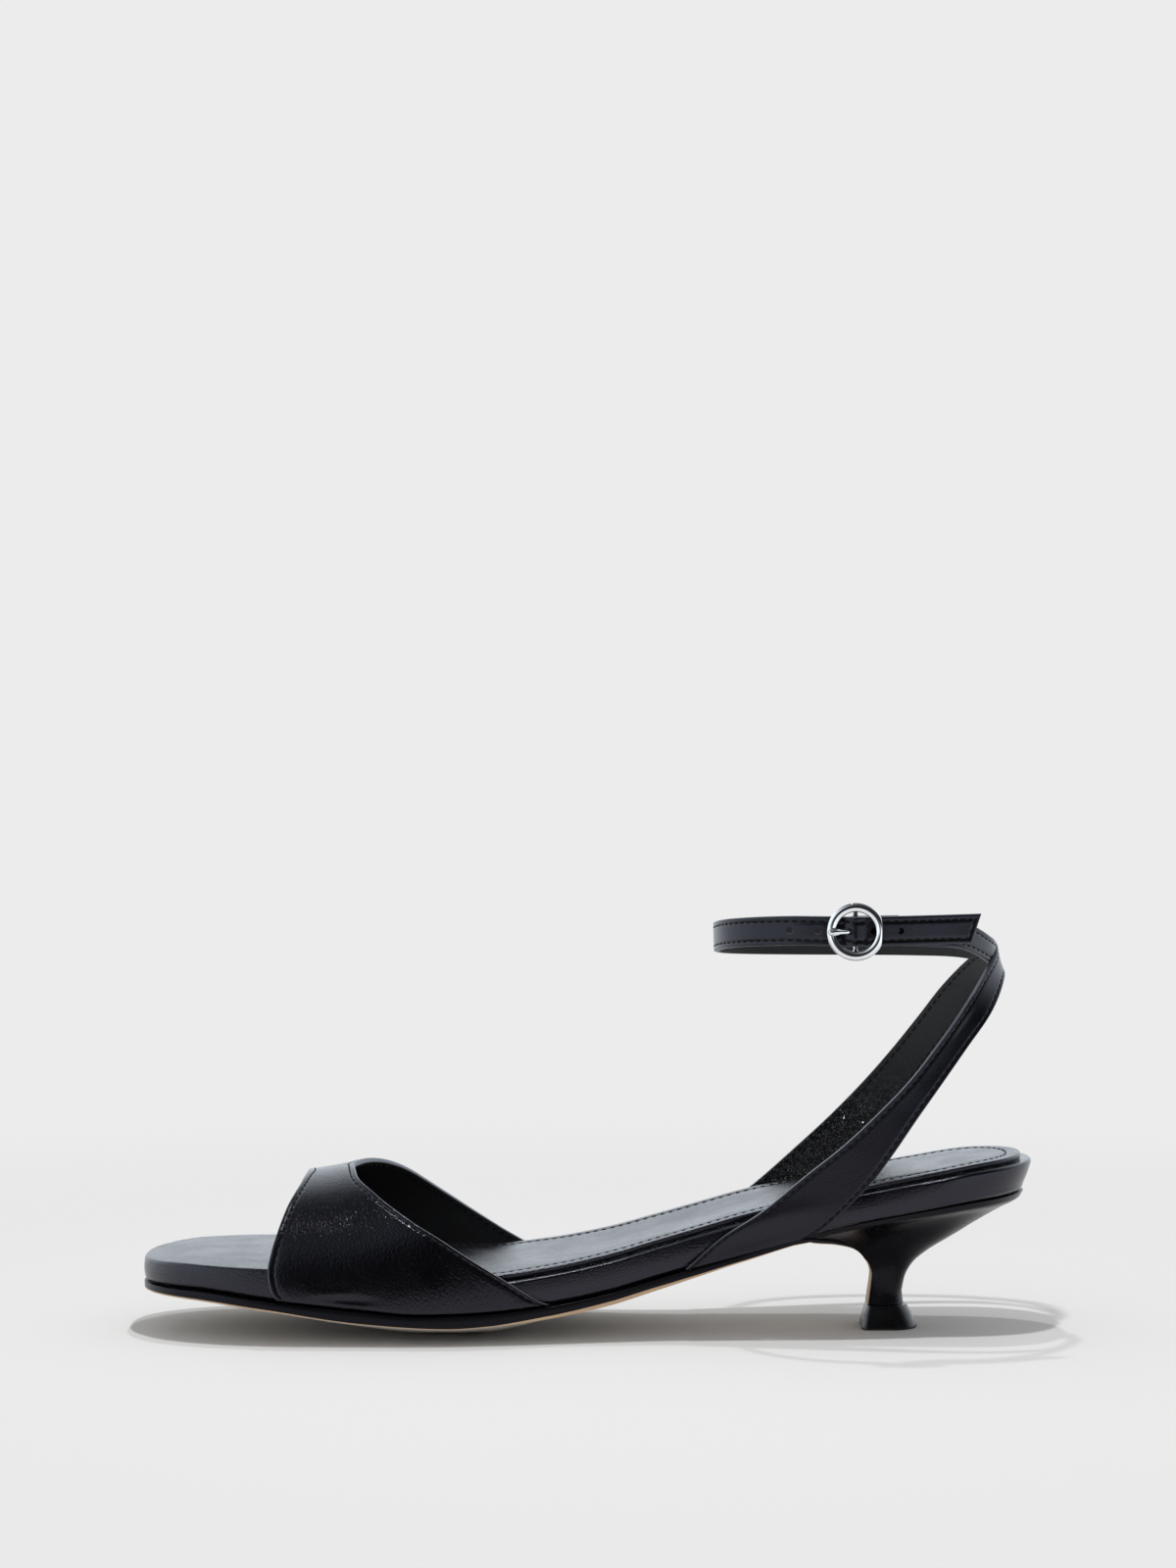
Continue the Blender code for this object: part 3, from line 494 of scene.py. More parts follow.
def leather(name, roughness, pebbles, depth, colours=(BLACK_NAPPA, NAPPA_SHEEN), long=1.0, turn=0.0,
            specular=LEATHER_SPECULAR, smooth=None):
    """Grained leather: pebbles a metre, their depth in metres, drawn long along a line turned from upright.

    smooth names an axis, two places on it and the share of the grain's depth left before the first one.
    """
    material, tree, shader = new_material(name)
    place = place_on(tree)
    drawn = new_node(tree, "ShaderNodeMapping", vector_type="TEXTURE", Vector=place,
                     Rotation=(0.0, math.radians(turn), 0.0), Scale=(1.0, 1.0, long))
    grain = new_node(tree, "ShaderNodeGroup", node_tree=LEATHER_GRAIN, Vector=drawn.outputs["Vector"],
                     Pebbles_a_Metre=pebbles).outputs
    height = grain["Height"]
    if smooth:
        axis, first, second, least = smooth
        share = ramp(tree, axes_of(tree, place)[axis], first, second, least, 1.0)
        height = maths(tree, "MULTIPLY", height, share)
    gloss = ramp(tree, grain["Mottle"], *MOTTLE_SPAN, roughness - GLOSS_SPREAD, roughness + GLOSS_SPREAD)
    set_inputs(shader, Base_Color=blend(tree, grain["Mottle"], *colours), Roughness=gloss,
               Normal=bumped(tree, height, strength=1.0, depth=depth),
               Specular_IOR_Level=specular, Specular_Tint=LEATHER_TINT)
    return material


def loose(name, mesh, materials=()):
    """Object in the scene that rides on no body yet."""
    for material in materials:
        mesh.materials.append(material)
    piece = bpy.data.objects.new(name, mesh)
    bpy.context.scene.collection.objects.link(piece)
    return piece


def add_piece(name, mesh, materials=()):
    piece = loose(name, mesh, materials)
    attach(piece, "root")
    return piece


FOOTBED_LEATHER = leather("footbed_nappa", roughness=0.2, pebbles=1900.0, depth=0.00008, specular=0.58,
                          smooth=("X", -0.06, -0.085, 0.35))
footbed = add_piece("footbed_cover", footbed_mesh(), [FOOTBED_LEATHER])
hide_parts("footbed")

# Sock lining
# Thin lining of smooth black leather, cut 3 mm inside the footbed and sewn down 4 mm from its edge.
# Its middle stays bare.
GAP = 0.3
SOCK_FRONT_X = -74.0
SOCK_MARGIN = 3.0
SOCK_CORNER = 12.0
SOCK_SQUARENESS = 3.0
SOCK_THICKNESS = 1.5
SOCK_EDGE_ROUND = 0.45
SOCK_SEAM = 4.0
SOCK_SEAM_RISE = -0.1
SOCK_FOOT_INSET = 0.15
SOCK_FOOT_RISE = 0.2
SOCK_EDGE_TURNS = 6
SOCK_POINTS = 200
SOCK_CELLS = 24
# Inset from the sock's edge, and the rise of its face there
SOCK_RELIEF = (
    (0.9, 0.05),
    (2.0, 0.1),
    (3.0, 0.08),
    (3.6, -0.02),
    (4.0, -0.14),
    (4.4, -0.02),
    (5.2, 0.1),
    (7.0, 0.2),
)
SOCK_BLACK = (0.006, 0.006, 0.0075, 1.0)
SOCK_SHEEN = (0.012, 0.0125, 0.015, 1.0)
THREAD_BLACK = (0.0025, 0.0025, 0.003, 1.0)
THREAD_RADIUS = 0.2
STITCH_PITCH = 2.45
STITCH_LENGTH = 1.6
# Share of a stitch's length, and the height there in thread radii
STITCH_ARCH = ((-0.5, -0.6), (0.0, 1.9), (0.5, -0.6))
THREAD_SIDES = 6


def sock_width(side, x):
    heel_end = HEEL_X - SOCK_MARGIN
    front = end_round(x - SOCK_FRONT_X, SOCK_CORNER, SOCK_SQUARENESS)
    heel = end_round(heel_end - x, HEEL_ROUND - SOCK_MARGIN, HEEL_SQUARENESS)
    return (SOLE[side](x) - SOCK_MARGIN) * front * heel


def sock_top(x, y, rise=0.0):
    return SOLE["top"](x) + arch_lift(x, y) + GAP + SOCK_THICKNESS + rise


SOCK_LINE = outline(sock_width, SOCK_FRONT_X, HEEL_X - SOCK_MARGIN, SOCK_POINTS)


def sock_mesh():
    rings = []

    def ring(inset, rise):
        x, y = inset_line(SOCK_LINE, inset).T
        rings.append(np.stack((x, y, sock_top(x, y, rise)), axis=1))

    ring(SOCK_FOOT_INSET, -SOCK_THICKNESS)
    ring(0.0, SOCK_FOOT_RISE - SOCK_THICKNESS)
    for turn in np.linspace(0.0, math.pi / 2, SOCK_EDGE_TURNS):
        ring(SOCK_EDGE_ROUND * (1 - math.cos(turn)), SOCK_EDGE_ROUND * (math.sin(turn) - 1))
    for inset, rise in SOCK_RELIEF:
        ring(inset, rise)
    middle = SOCK_RELIEF[-1][1]
    return layer_mesh("sock_lining", rings, lambda x, y: sock_top(x, y, middle), SOCK_CELLS)


def stitch_tree():
    """Lays a short arched thread at even steps along each line, standing on the line's own up direction."""
    tree = bpy.data.node_groups.new("stitch_row", "GeometryNodeTree")
    tree.is_modifier = True
    new_sockets(tree, "INPUT", Geometry="Geometry", Pitch="Float", Stitch_Length="Float",
                Thread_Radius="Float", Thread="Material")
    new_sockets(tree, "OUTPUT", Geometry="Geometry")
    given = new_node(tree, "NodeGroupInput").outputs
    line = new_node(tree, "GeometryNodeMeshToCurve", Mesh=given["Geometry"])
    steps = new_node(tree, "GeometryNodeResampleCurve", mode="LENGTH", Curve=line.outputs["Curve"],
                     Length=given["Pitch"])
    up = new_node(tree, "GeometryNodeInputNamedAttribute", data_type="FLOAT_VECTOR", Name="up")
    along = new_node(tree, "GeometryNodeInputTangent")
    turn = new_node(tree, "FunctionNodeAxesToRotation", primary_axis="Z", secondary_axis="X",
                    Primary_Axis=up.outputs["Attribute"], Secondary_Axis=along.outputs["Tangent"])
    bends = {}
    for name, (length, height) in zip(("Start", "Middle", "End"), STITCH_ARCH):
        x = maths(tree, "MULTIPLY", given["Stitch Length"], length)
        z = maths(tree, "MULTIPLY", given["Thread Radius"], height)
        bends[name] = new_node(tree, "ShaderNodeCombineXYZ", X=x, Z=z).outputs["Vector"]
    thread = new_node(tree, "GeometryNodeCurveQuadraticBezier", Resolution=THREAD_SIDES, **bends)
    section = new_node(tree, "GeometryNodeCurvePrimitiveCircle", Resolution=THREAD_SIDES,
                       Radius=given["Thread Radius"])
    body = new_node(tree, "GeometryNodeCurveToMesh", Curve=thread.outputs["Curve"],
                    Profile_Curve=section.outputs["Curve"], Fill_Caps=True)
    rows = new_node(tree, "GeometryNodeInstanceOnPoints", Points=steps.outputs["Curve"],
                    Instance=body.outputs["Mesh"], Rotation=turn.outputs["Rotation"])
    real = new_node(tree, "GeometryNodeRealizeInstances", Geometry=rows.outputs["Instances"])
    dyed = new_node(tree, "GeometryNodeSetMaterial", Geometry=real.outputs["Geometry"],
                    Material=given["Thread"])
    new_node(tree, "NodeGroupOutput", Geometry=dyed.outputs["Geometry"])
    return tree


STITCH_ROW = stitch_tree()


def noise(tree, place, scale, detail, **values):
    """Cloudy value from 0 to 1 over a place."""
    cloud = new_node(tree, "ShaderNodeTexNoise", Vector=place, Scale=scale, Detail=detail, **values)
    return cloud.outputs["Fac"]


def thread_material():
    """Waxed black thread, with the fine ribs of its twist."""
    material, tree, shader = new_material("waxed_thread")
    twist = noise(tree, place_on(tree), scale=5200.0, detail=1.0)
    set_inputs(shader, Base_Color=THREAD_BLACK, Roughness=0.42, Specular_IOR_Level=0.15,
               Normal=bumped(tree, twist, strength=0.5, depth=0.00004))
    return material


THREAD = thread_material()


def plain_mesh(piece):
    """The piece's mesh with its modifiers, and the piece itself removed."""
    bpy.context.view_layer.update()
    evaluated = piece.evaluated_get(bpy.context.evaluated_depsgraph_get())
    mesh = bpy.data.meshes.new_from_object(evaluated)
    bpy.data.objects.remove(piece)
    return mesh


def sew(name, lines, closed=False):
    """Rows of stitches along lines of (points, up directions) on a leather's face."""
    points, ups, edges = [], [], []
    for places, directions in lines:
        first = len(points)
        count = len(places)
        points += (np.asarray(places) * MM).tolist()
        ups += np.asarray(directions).tolist()
        edges += [(first + k, first + k + 1) for k in range(count - 1)]
        if closed:
            edges.append((first + count - 1, first))
    mesh = bpy.data.meshes.new(name + "_line")
    mesh.from_pydata(points, edges, [])
    up = mesh.attributes.new("up", "FLOAT_VECTOR", "POINT")
    up.data.foreach_set("vector", np.array(ups, np.float32).ravel())
    guide = bpy.data.objects.new(name + "_line", mesh)
    bpy.context.scene.collection.objects.link(guide)
    rows = guide.modifiers.new("stitches", "NODES")
    rows.node_group = STITCH_ROW
    values = {"Pitch": STITCH_PITCH * MM, "Stitch Length": STITCH_LENGTH * MM,
              "Thread Radius": THREAD_RADIUS * MM, "Thread": THREAD}
    for item in STITCH_ROW.interface.items_tree:
        if item.in_out == "INPUT" and item.name in values:
            rows[item.identifier] = values[item.name]
    stitches = plain_mesh(guide)
    stitches.name = name
    stitches.shade_smooth()
    return add_piece(name, stitches)


SOCK_LEATHER = leather("sock_leather", roughness=0.24, pebbles=2000.0, depth=0.00003, specular=0.6,
                       colours=(SOCK_BLACK, SOCK_SHEEN))
sock = add_piece("sock_lining", sock_mesh(), [SOCK_LEATHER])
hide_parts("insole")
seam_x, seam_y = inset_line(SOCK_LINE, SOCK_SEAM).T
sock_seam = np.stack((seam_x, seam_y, sock_top(seam_x, seam_y, SOCK_SEAM_RISE)), axis=1)
sock_ups = np.tile((0.0, 0.0, 1.0), (len(sock_seam), 1))
sock_stitches = sew("sock_stitches", [(sock_seam, sock_ups)], closed=True)

# Heel
# Low moulded heel covered in the same leather and waisted to a slim neck.
# Its seat is fixed from above, through the footbed.
NECK_Z = 10.1
TIP_TOP_Z = 6.5
HEEL_COLUMNS = ("level", "behind", "before")
HEEL_ROWS = (
    (0.00, 0.000, 0.00),
    (0.14, 0.026, -0.02),
    (0.27, 0.088, -0.03),
    (0.39, 0.205, 0.00),
    (0.54, 0.412, 0.085),
    (0.71, 0.642, 0.25),
    (0.84, 0.830, 0.55),
    (0.94, 0.975, 0.97),
    (1.00, 1.000, 1.00),
)
HEEL_SEAT_FRONT_X = 60.0
HEEL_SEAT_INSET = 2.0
HEEL_SEAT_ROUND = 0.5
HEEL_FRONT_HALF = 21.0
NECK_FRONT_X = 77.9
NECK_BACK_X = 86.9
NECK_FRONT_HALF = 4.4
NECK_HALF = 5.7
HEEL_FOOT_FLARE = 1.1
HEEL_TIP_GAP = 0.08
HEEL_FOOT_SHARES = (1.0, 0.66, 0.33)
HEEL_LEVELS = (*np.linspace(0.0, 0.9, 34), *np.linspace(0.92, 0.975, 5))
HEEL_SEAT_TURNS = np.linspace(0.3, math.pi / 2, 4)
HEEL_FRONT_POINTS = 9
HEEL_TURNS = 64
HEEL = table(HEEL_COLUMNS, HEEL_ROWS)


def heel_ring(level):
    """One closed line round the heel, from its seat (1) down to its neck (0)."""
    behind, before = HEEL["behind"](level), HEEL["before"](level)
    share = np.linspace(-1.0, 1.0, HEEL_FRONT_POINTS)
    across = np.ones(HEEL_FRONT_POINTS)
    seat_front = np.stack((HEEL_SEAT_FRONT_X * across, share * HEEL_FRONT_HALF), axis=1)
    neck_front = np.stack((NECK_FRONT_X * across, share * NECK_FRONT_HALF), axis=1)
    turn = np.linspace(0.0, math.pi, HEEL_TURNS + 1)[1:-1]
    reach = np.sin(turn)
    sign = np.where(turn < math.pi / 2, 1.0, -1.0)
    seat_x = HEEL_SEAT_FRONT_X + (HEEL_X - HEEL_SEAT_INSET - HEEL_SEAT_FRONT_X) * reach
    line_x = np.minimum(seat_x + HEEL_SEAT_INSET * reach, HEEL_X)
    wide = np.where(sign > 0, half_width("medial", line_x), half_width("lateral", line_x))
    seat_y = np.maximum(0.0, wide - HEEL_SEAT_INSET)
    seat_y += (HEEL_FRONT_HALF - seat_y) * (1 - reach) ** 2
    neck_x = NECK_FRONT_X + (NECK_BACK_X - NECK_FRONT_X) * reach
    neck_y = NECK_FRONT_HALF * np.abs(np.cos(turn)) + (NECK_HALF - NECK_FRONT_HALF) * np.sin(2 * turn) ** 2
    seat = np.vstack((seat_front, np.stack((seat_x, sign * seat_y), axis=1)))
    neck = np.vstack((neck_front, np.stack((neck_x, sign * neck_y), axis=1)))
    spread = np.concatenate((before * across, before + (behind - before) * reach))[:, None]
    top = SOLE["feather"](seat[:, 0]) - GAP
    plan = neck + (seat - neck) * spread
    return np.column_stack((plan, NECK_Z + (top - NECK_Z) * level))


def heel_foot(share):
    """Closed line round the heel's foot, from its neck (0) flared down to the tip (1)."""
    neck = heel_ring(0.0)
    middle = np.array(((NECK_FRONT_X + NECK_BACK_X) / 2, 0.0, 0.0))
    foot = middle + (neck - middle) * np.array((1.0, 1.0, 0.0)) * (1 + (HEEL_FOOT_FLARE - 1) * share)
    foot[:, 2] = NECK_Z + (TIP_TOP_Z + HEEL_TIP_GAP - NECK_Z) * share
    return foot


def capped_faces(count, rings):
    """Quads between closed rings of points, and a face on the first and on the last of them."""
    last = count * (rings - 1)
    return ring_faces(count, rings) + [tuple(range(count)), tuple(range(last, last + count))]


def heel_mesh():
    rings = [heel_foot(share) for share in HEEL_FOOT_SHARES]
    rings += [heel_ring(level) for level in HEEL_LEVELS]
    seat = heel_ring(1.0)
    inward = seat.mean(axis=0) - seat
    inward[:, 2] = 0.0
    inward /= np.linalg.norm(inward, axis=1)[:, None]
    for turn in HEEL_SEAT_TURNS:
        ring = seat + inward * HEEL_SEAT_ROUND * (1 - math.cos(turn))
        ring[:, 2] -= HEEL_SEAT_ROUND * (1 - math.sin(turn))
        rings.append(ring)
    return mesh_from("heel_cover", np.vstack(rings), capped_faces(len(seat), len(rings)), sharp=50)


HEEL_LEATHER = leather("heel_nappa", roughness=0.26, pebbles=2000.0, depth=0.00003, specular=0.25)
heel = add_piece("heel_cover", heel_mesh(), [HEEL_LEATHER])
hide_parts("heel")

# Outsole
# Thin tan leather sole, its edge painted black down to a bare line at the bottom.
# At the waist it narrows and runs on as a thin flap down the front of the heel.
SOLE_RIM = 1.3
SOLE_RIM_ROUND = 12.0
SOLE_TOE_INSET = 0.2
SOLE_TOE_LEVEL = 12.0
SOLE_END_X = 56.1
SOLE_WAIST_X = 40.0
SOLE_WAIST_LENGTH = 19.0
SOLE_FLAT_SHARE = 0.26
SOLE_BEND = 1.3
SOLE_STATIONS = 150
SOLE_EDGE_ROUND = 0.18
SOLE_EDGE_ROUND_MOST = 0.3
SOLE_CORNER = 0.3
PAINT_MARGIN = 1.1
PAINT_STEP = 0.08
FLAP_THICK = (1.1, 0.32)
FLAP_THINS = (0.6, 0.93)
FLAP_GAP = 0.02
FLAP_BARE = 0.1
FLAP_BARE_LEVEL = 0.5
FLAP_LEVELS = np.linspace(0.93, 0.0, 46)
FLAP_FOOT_SHARES = (0.33, 0.66, 0.97)
# Place along the sole, and the height of its unpainted line there
BARE_EDGE_ROWS = (
    (-122.0, 0.35),
    (-90.0, 0.45),
    (-70.0, 0.2),
    (-30.0, 0.2),
    (-12.0, 0.7),
    (10.0, 1.1),
    (30.0, 0.6),
    (50.0, 0.2),
)
PAINT_SLOT, TAN_SLOT, WALKED_SLOT = range(3)
EDGE_POINTS = 9
PAINTED_CELLS = 5
UNDER_POINTS = 39
TOP_EVERY = 4
EDGE_PAINT_BLACK = (0.003, 0.003, 0.0035, 1.0)
SOLE_TAN = (0.60, 0.41, 0.25, 1.0)
SOLE_TAN_DARK = (0.50, 0.34, 0.21, 1.0)
WALKED_PALE = (0.55, 0.51, 0.46, 1.0)
WALKED_DARK = (0.42, 0.38, 0.33, 1.0)
BARE_EDGE = smooth_line(*zip(*BARE_EDGE_ROWS))


def outsole_width(side, x):
    rim = SOLE_RIM * end_round(x - TOE_X + SOLE_RIM, SOLE_RIM_ROUND, 2.0)
    full = half_width(side, x) + rim
    return full + (HEEL_FRONT_HALF - full) * ease(SOLE_WAIST_X, SOLE_WAIST_X + SOLE_WAIST_LENGTH, x)


def edge_profile(thick, bare):
    """Sole edge from the bottom up: (inset, height) of its rounded corners and the paint's lower line."""
    r = min(SOLE_EDGE_ROUND, SOLE_EDGE_ROUND_MOST * thick)
    corner = SOLE_CORNER * r
    clear = PAINT_MARGIN * r
    line = max(min(bare, thick - 2 * clear), clear)
    return ((r, 0.0), (corner, corner), (0.0, r), (0.0, line), (0.0, line + PAINT_STEP),
            (0.0, 0.5 * (line + thick)), (0.0, thick - r), (corner, thick - corner), (r, thick))


def outsole_section(outer, inner, under, thick, bare, frame_axes):
    """Closed line across the sole. frame_axes gives its origin, its across and its up directions."""
    origin, across, up = frame_axes
    profile = edge_profile(thick, bare)
    shares = np.linspace(-1.0, 1.0, UNDER_POINTS + 2)[1:-1]
    line = []
    for inset, height in profile[::-1]:
        line.append((-outer + inset, under(-1.0) + height))
    for share in shares:
        line.append((share * (outer if share < 0 else inner), under(share)))
    for inset, height in profile:
        line.append((inner - inset, under(1.0) + height))
    for share in shares[::-TOP_EVERY]:
        line.append((share * (outer if share < 0 else inner), under(1.0) + thick))
    return [origin + across * a + up * b for a, b in line]


def outsole_mesh():
    sections = []
    x_axis, y_axis, z_axis = np.eye(3)
    start = TOE_X + SOLE_TOE_INSET
    for i in range(SOLE_STATIONS + 1):
        x = start + (SOLE_END_X - start) * (1 - math.cos(math.pi / 2 * i / SOLE_STATIONS))
        edge = SOLE["edge"](x)
        middle = edge + (SOLE["middle"](x) - edge) * ease(0.0, SOLE_TOE_LEVEL, x - start)

        def under(share, edge=edge, middle=middle):
            rise = max(0.0, (abs(share) - SOLE_FLAT_SHARE) / (1 - SOLE_FLAT_SHARE)) ** SOLE_BEND
            return middle + (edge - middle) * rise

        thick = SOLE["feather"](x) - GAP - edge
        axes = (x * x_axis, y_axis, z_axis)
        wide = outsole_width("lateral", x), outsole_width("medial", x)
        sections.append(outsole_section(*wide, under, thick, float(BARE_EDGE(x)), axes))
    front = [heel_ring(level) for level in FLAP_LEVELS] + [heel_foot(share) for share in FLAP_FOOT_SHARES]
    front = np.array(front)[:, :HEEL_FRONT_POINTS]
    levels = np.concatenate((FLAP_LEVELS, np.zeros(len(FLAP_FOOT_SHARES))))
    line = front[:, HEEL_FRONT_POINTS // 2]
    along = np.gradient(line, axis=0)
    along /= np.linalg.norm(along, axis=1)[:, None]
    for row, point, step, level in zip(front, line, along, levels):
        out = np.array((step[2], 0.0, -step[0]))
        half = row[-1, 1]
        thick = FLAP_THICK[1] + (FLAP_THICK[0] - FLAP_THICK[1]) * ease(*FLAP_THINS, level)
        axes = (point + out * (FLAP_GAP + thick), y_axis, -out)
        sections.append(outsole_section(half, half, lambda share: 0.0, thick, FLAP_BARE, axes))
    count = len(sections[0])
    faces = ring_faces(count, len(sections))
    slots = []
    top_points = count - 2 * EDGE_POINTS - UNDER_POINTS
    painted = set(range(PAINTED_CELLS)) | set(range(count - top_points - 1 - PAINTED_CELLS, count))
    walked = range(EDGE_POINTS - 1, EDGE_POINTS + UNDER_POINTS)
    bare_from = SOLE_STATIONS + 1 + int(np.argmax(levels < FLAP_BARE_LEVEL))
    for section in range(len(sections) - 1):
        for k in range(count):
            on_edge = PAINT_SLOT if section < bare_from and k in painted else TAN_SLOT
            slots.append(WALKED_SLOT if k in walked and section < SOLE_STATIONS else on_edge)
    medial = EDGE_POINTS + UNDER_POINTS
    for row in range(EDGE_POINTS - 1):
        outer = EDGE_POINTS - 1 - row
        low_line = range(outer, medial + 1) if row == 0 else (outer, medial + row)
        at_top = row == EDGE_POINTS - 2
        high_line = (*range(medial + row + 1, count), 0) if at_top else (medial + row + 1, outer - 1)
        faces.append((*low_line, *high_line))
        slots.append(PAINT_SLOT if row >= EDGE_POINTS - 1 - PAINTED_CELLS else TAN_SLOT)
    last = count * (len(sections) - 1)
    faces.append(tuple(range(last, last + count)))
    slots.append(TAN_SLOT)
    return mesh_from("leather_sole", np.vstack(sections), faces, slots, sharp=50)


def sole_leather_material(name, pale, dark):
    """Smooth vegetable-tanned leather: fine fibres along the foot, darker scuffed patches."""
    material, tree, shader = new_material(name)
    place = place_on(tree)
    along = new_node(tree, "ShaderNodeMapping", Vector=place, Scale=(0.25, 1.0, 1.0)).outputs["Vector"]
    fibre = noise(tree, along, scale=1400.0, detail=4.0)
    scuffed = maths(tree, "MULTIPLY", fibre, noise(tree, place, scale=45.0, detail=5.0))
    set_inputs(shader, Base_Color=blend(tree, scuffed, pale, dark), Roughness=0.5,
               Normal=bumped(tree, fibre, strength=0.6, depth=0.00003))
    return material


EDGE_PAINT = leather("sole_edge_paint", roughness=0.3, pebbles=900.0, depth=0.00001, specular=0.2,
                     colours=(EDGE_PAINT_BLACK, NAPPA_SHEEN))
SOLE_EDGE = sole_leather_material("tan_sole_edge", SOLE_TAN, SOLE_TAN_DARK)
SOLE_UNDER = sole_leather_material("buffed_sole", WALKED_PALE, WALKED_DARK)
outsole = add_piece("leather_sole", outsole_mesh(), [EDGE_PAINT, SOLE_EDGE, SOLE_UNDER])
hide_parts("outsole")

# Heel tip
# Hard black top piece under the heel: flat front with cut corners, round back, flared to the floor.
# It is moulded in one and pinned up into the heel's foot.
TIP_FRONT_CORNERS = ((-1.0, 0.72), (-0.9, 0.97), (-0.84, 1.0))
TIP_ROUND_FROM = 0.12
TIP_BACK_POINTS = 33
TIP_BEVEL = 0.14
TIP_BEVEL_FROM = math.radians(24)
TIP_SHARP = math.radians(18)
TIP_RUB_SPAN = (0.3, 0.7)
TIP_GLOSS = (0.2, 0.36)
TIP_BLACK = (0.004, 0.004, 0.005, 1.0)
# Height, front, back and half width
TIP_ROWS = (
    (0.0, 75.5, 91.1, 8.2),
    (0.9, 75.6, 91.0, 8.1),
    (4.2, 76.4, 89.5, 7.1),
    (TIP_TOP_Z, 77.1, 88.2, 6.6),
)


def heel_tip_mesh():
    turns = np.linspace(0.0, math.pi, TIP_BACK_POINTS)
    plan = list(TIP_FRONT_CORNERS)
    plan += [(TIP_ROUND_FROM + (1 - TIP_ROUND_FROM) * math.sin(a), math.cos(a)) for a in turns]
    plan += [(x, -y) for x, y in TIP_FRONT_CORNERS[::-1]]
    plan = np.array(plan)
    rings = []
    for z, front, back, half in TIP_ROWS:
        x = (front + back) / 2 + plan[:, 0] * (back - front) / 2
        rings.append(np.stack((x, plan[:, 1] * half, np.full(len(plan), z)), axis=1))
    faces = capped_faces(len(plan), len(rings))
    block = loose("heel_tip_block", mesh_from("heel_tip_block", np.vstack(rings), faces))
    bevel = block.modifiers.new("worn_edges", "BEVEL")
    bevel.width = TIP_BEVEL * MM
    bevel.segments = 3
    bevel.limit_method = "ANGLE"
    bevel.angle_limit = TIP_BEVEL_FROM
    finished = plain_mesh(block)
    finished.shade_smooth()
    finished.set_sharp_from_angle(angle=TIP_SHARP)
    return finished


def heel_tip_material():
    """Moulded top piece with a faint mould grain and rubbed gloss."""
    material, tree, shader = new_material("hard_black_top_piece")
    place = place_on(tree)
    rubbed = noise(tree, place, scale=160.0, detail=4.0)
    grain = noise(tree, place, scale=1800.0, detail=3.0)
    set_inputs(shader, Base_Color=TIP_BLACK,
               Roughness=ramp(tree, rubbed, *TIP_RUB_SPAN, *TIP_GLOSS, interpolation="LINEAR"),
               Normal=bumped(tree, grain, strength=0.35, depth=0.00003))
    return material


heel_tip = add_piece("heel_tip_block", heel_tip_mesh(), [heel_tip_material()])
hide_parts("heel_tip")

# Vamp
# Open band of black nappa over the forefoot, lined, cut narrow on top and wide at the sides.
# Its edges are turned and sewn 1.5 mm in, and its lower ends are lasted in under the footbed.
VAMP_WALL = 1.6
VAMP_COLUMNS = ("over", "front_lateral", "back_lateral", "front_medial", "back_medial")
VAMP_ROWS = (
    (0.00, -83.3, -10.2, -82.0, -4.0),
    (0.17, -85.6, -20.6, -84.4, -14.6),
    (0.30, -86.2, -30.4, -85.0, -25.4),
    (0.42, -85.4, -39.4, -84.4, -34.8),
    (0.55, -83.8, -48.8, -83.0, -43.6),
    (0.70, -81.6, -57.2, -81.0, -51.6),
    (0.85, -78.8, -62.8, -78.4, -58.6),
    (1.00, -76.8, -64.4, -76.8, -64.4),
)
INSTEP_ROWS = ((-92.0, 40.0), (-75.0, 42.0), (-62.0, 44.6), (-45.0, 51.2), (-25.0, 61.0), (0.0, 74.0))
VAMP_ROUNDNESS = 2.3
VAMP_CLEARANCE = 0.5
VAMP_SPREAD = 1.6
VAMP_LINES = 96
VAMP_LINE_CROWDING = 1.5
VAMP_CELLS = 26
VAMP_SLANT = 0.86
VAMP_TUCK = 1.3
VAMP_INSIDE = np.array((-50.0, 0.0, 15.0))
VAMP_CREASE_FROM = (1.5, 5.0)
VAMP_SHARP = math.radians(60)
CREASE_ENDS = (0.02, 0.98)
CREASE_FADE = 0.7
EDGE_STOPS = (0.0, 0.1, 0.25, 0.45, 0.8, 1.1, 1.3, 1.45, 1.6, 1.8, 2.1, 2.6)
# Outermost cells of the leather face take the cut edge's colour: a painted highlight line along the rounded
# edge
HIGHLIGHT_RIM_CELLS = 2
EDGE_ROUND = 0.45
LINING_ROUND = 0.3
SEAM_INSET = 1.45
SEAM_WIDTH = 0.3
SEAM_DEPTH = 0.24
LEATHER_SLOT, LINING_SLOT, EDGE_HIGHLIGHT_SLOT = range(3)
LINING_LOW = (0.076, 0.046)
LINING_ROUGHNESS = 0.62
LINING_BLACK = (0.007, 0.007, 0.008, 1.0)
LINING_GREY = (0.016, 0.016, 0.018, 1.0)
# Light grey of the vamp's cut edges and face rim: painted highlight, standing in for light caught along the
# rounded edge
EDGE_HIGHLIGHT_DARK = (0.06, 0.068, 0.08, 1.0)
EDGE_HIGHLIGHT_LIGHT = (0.19, 0.21, 0.24, 1.0)
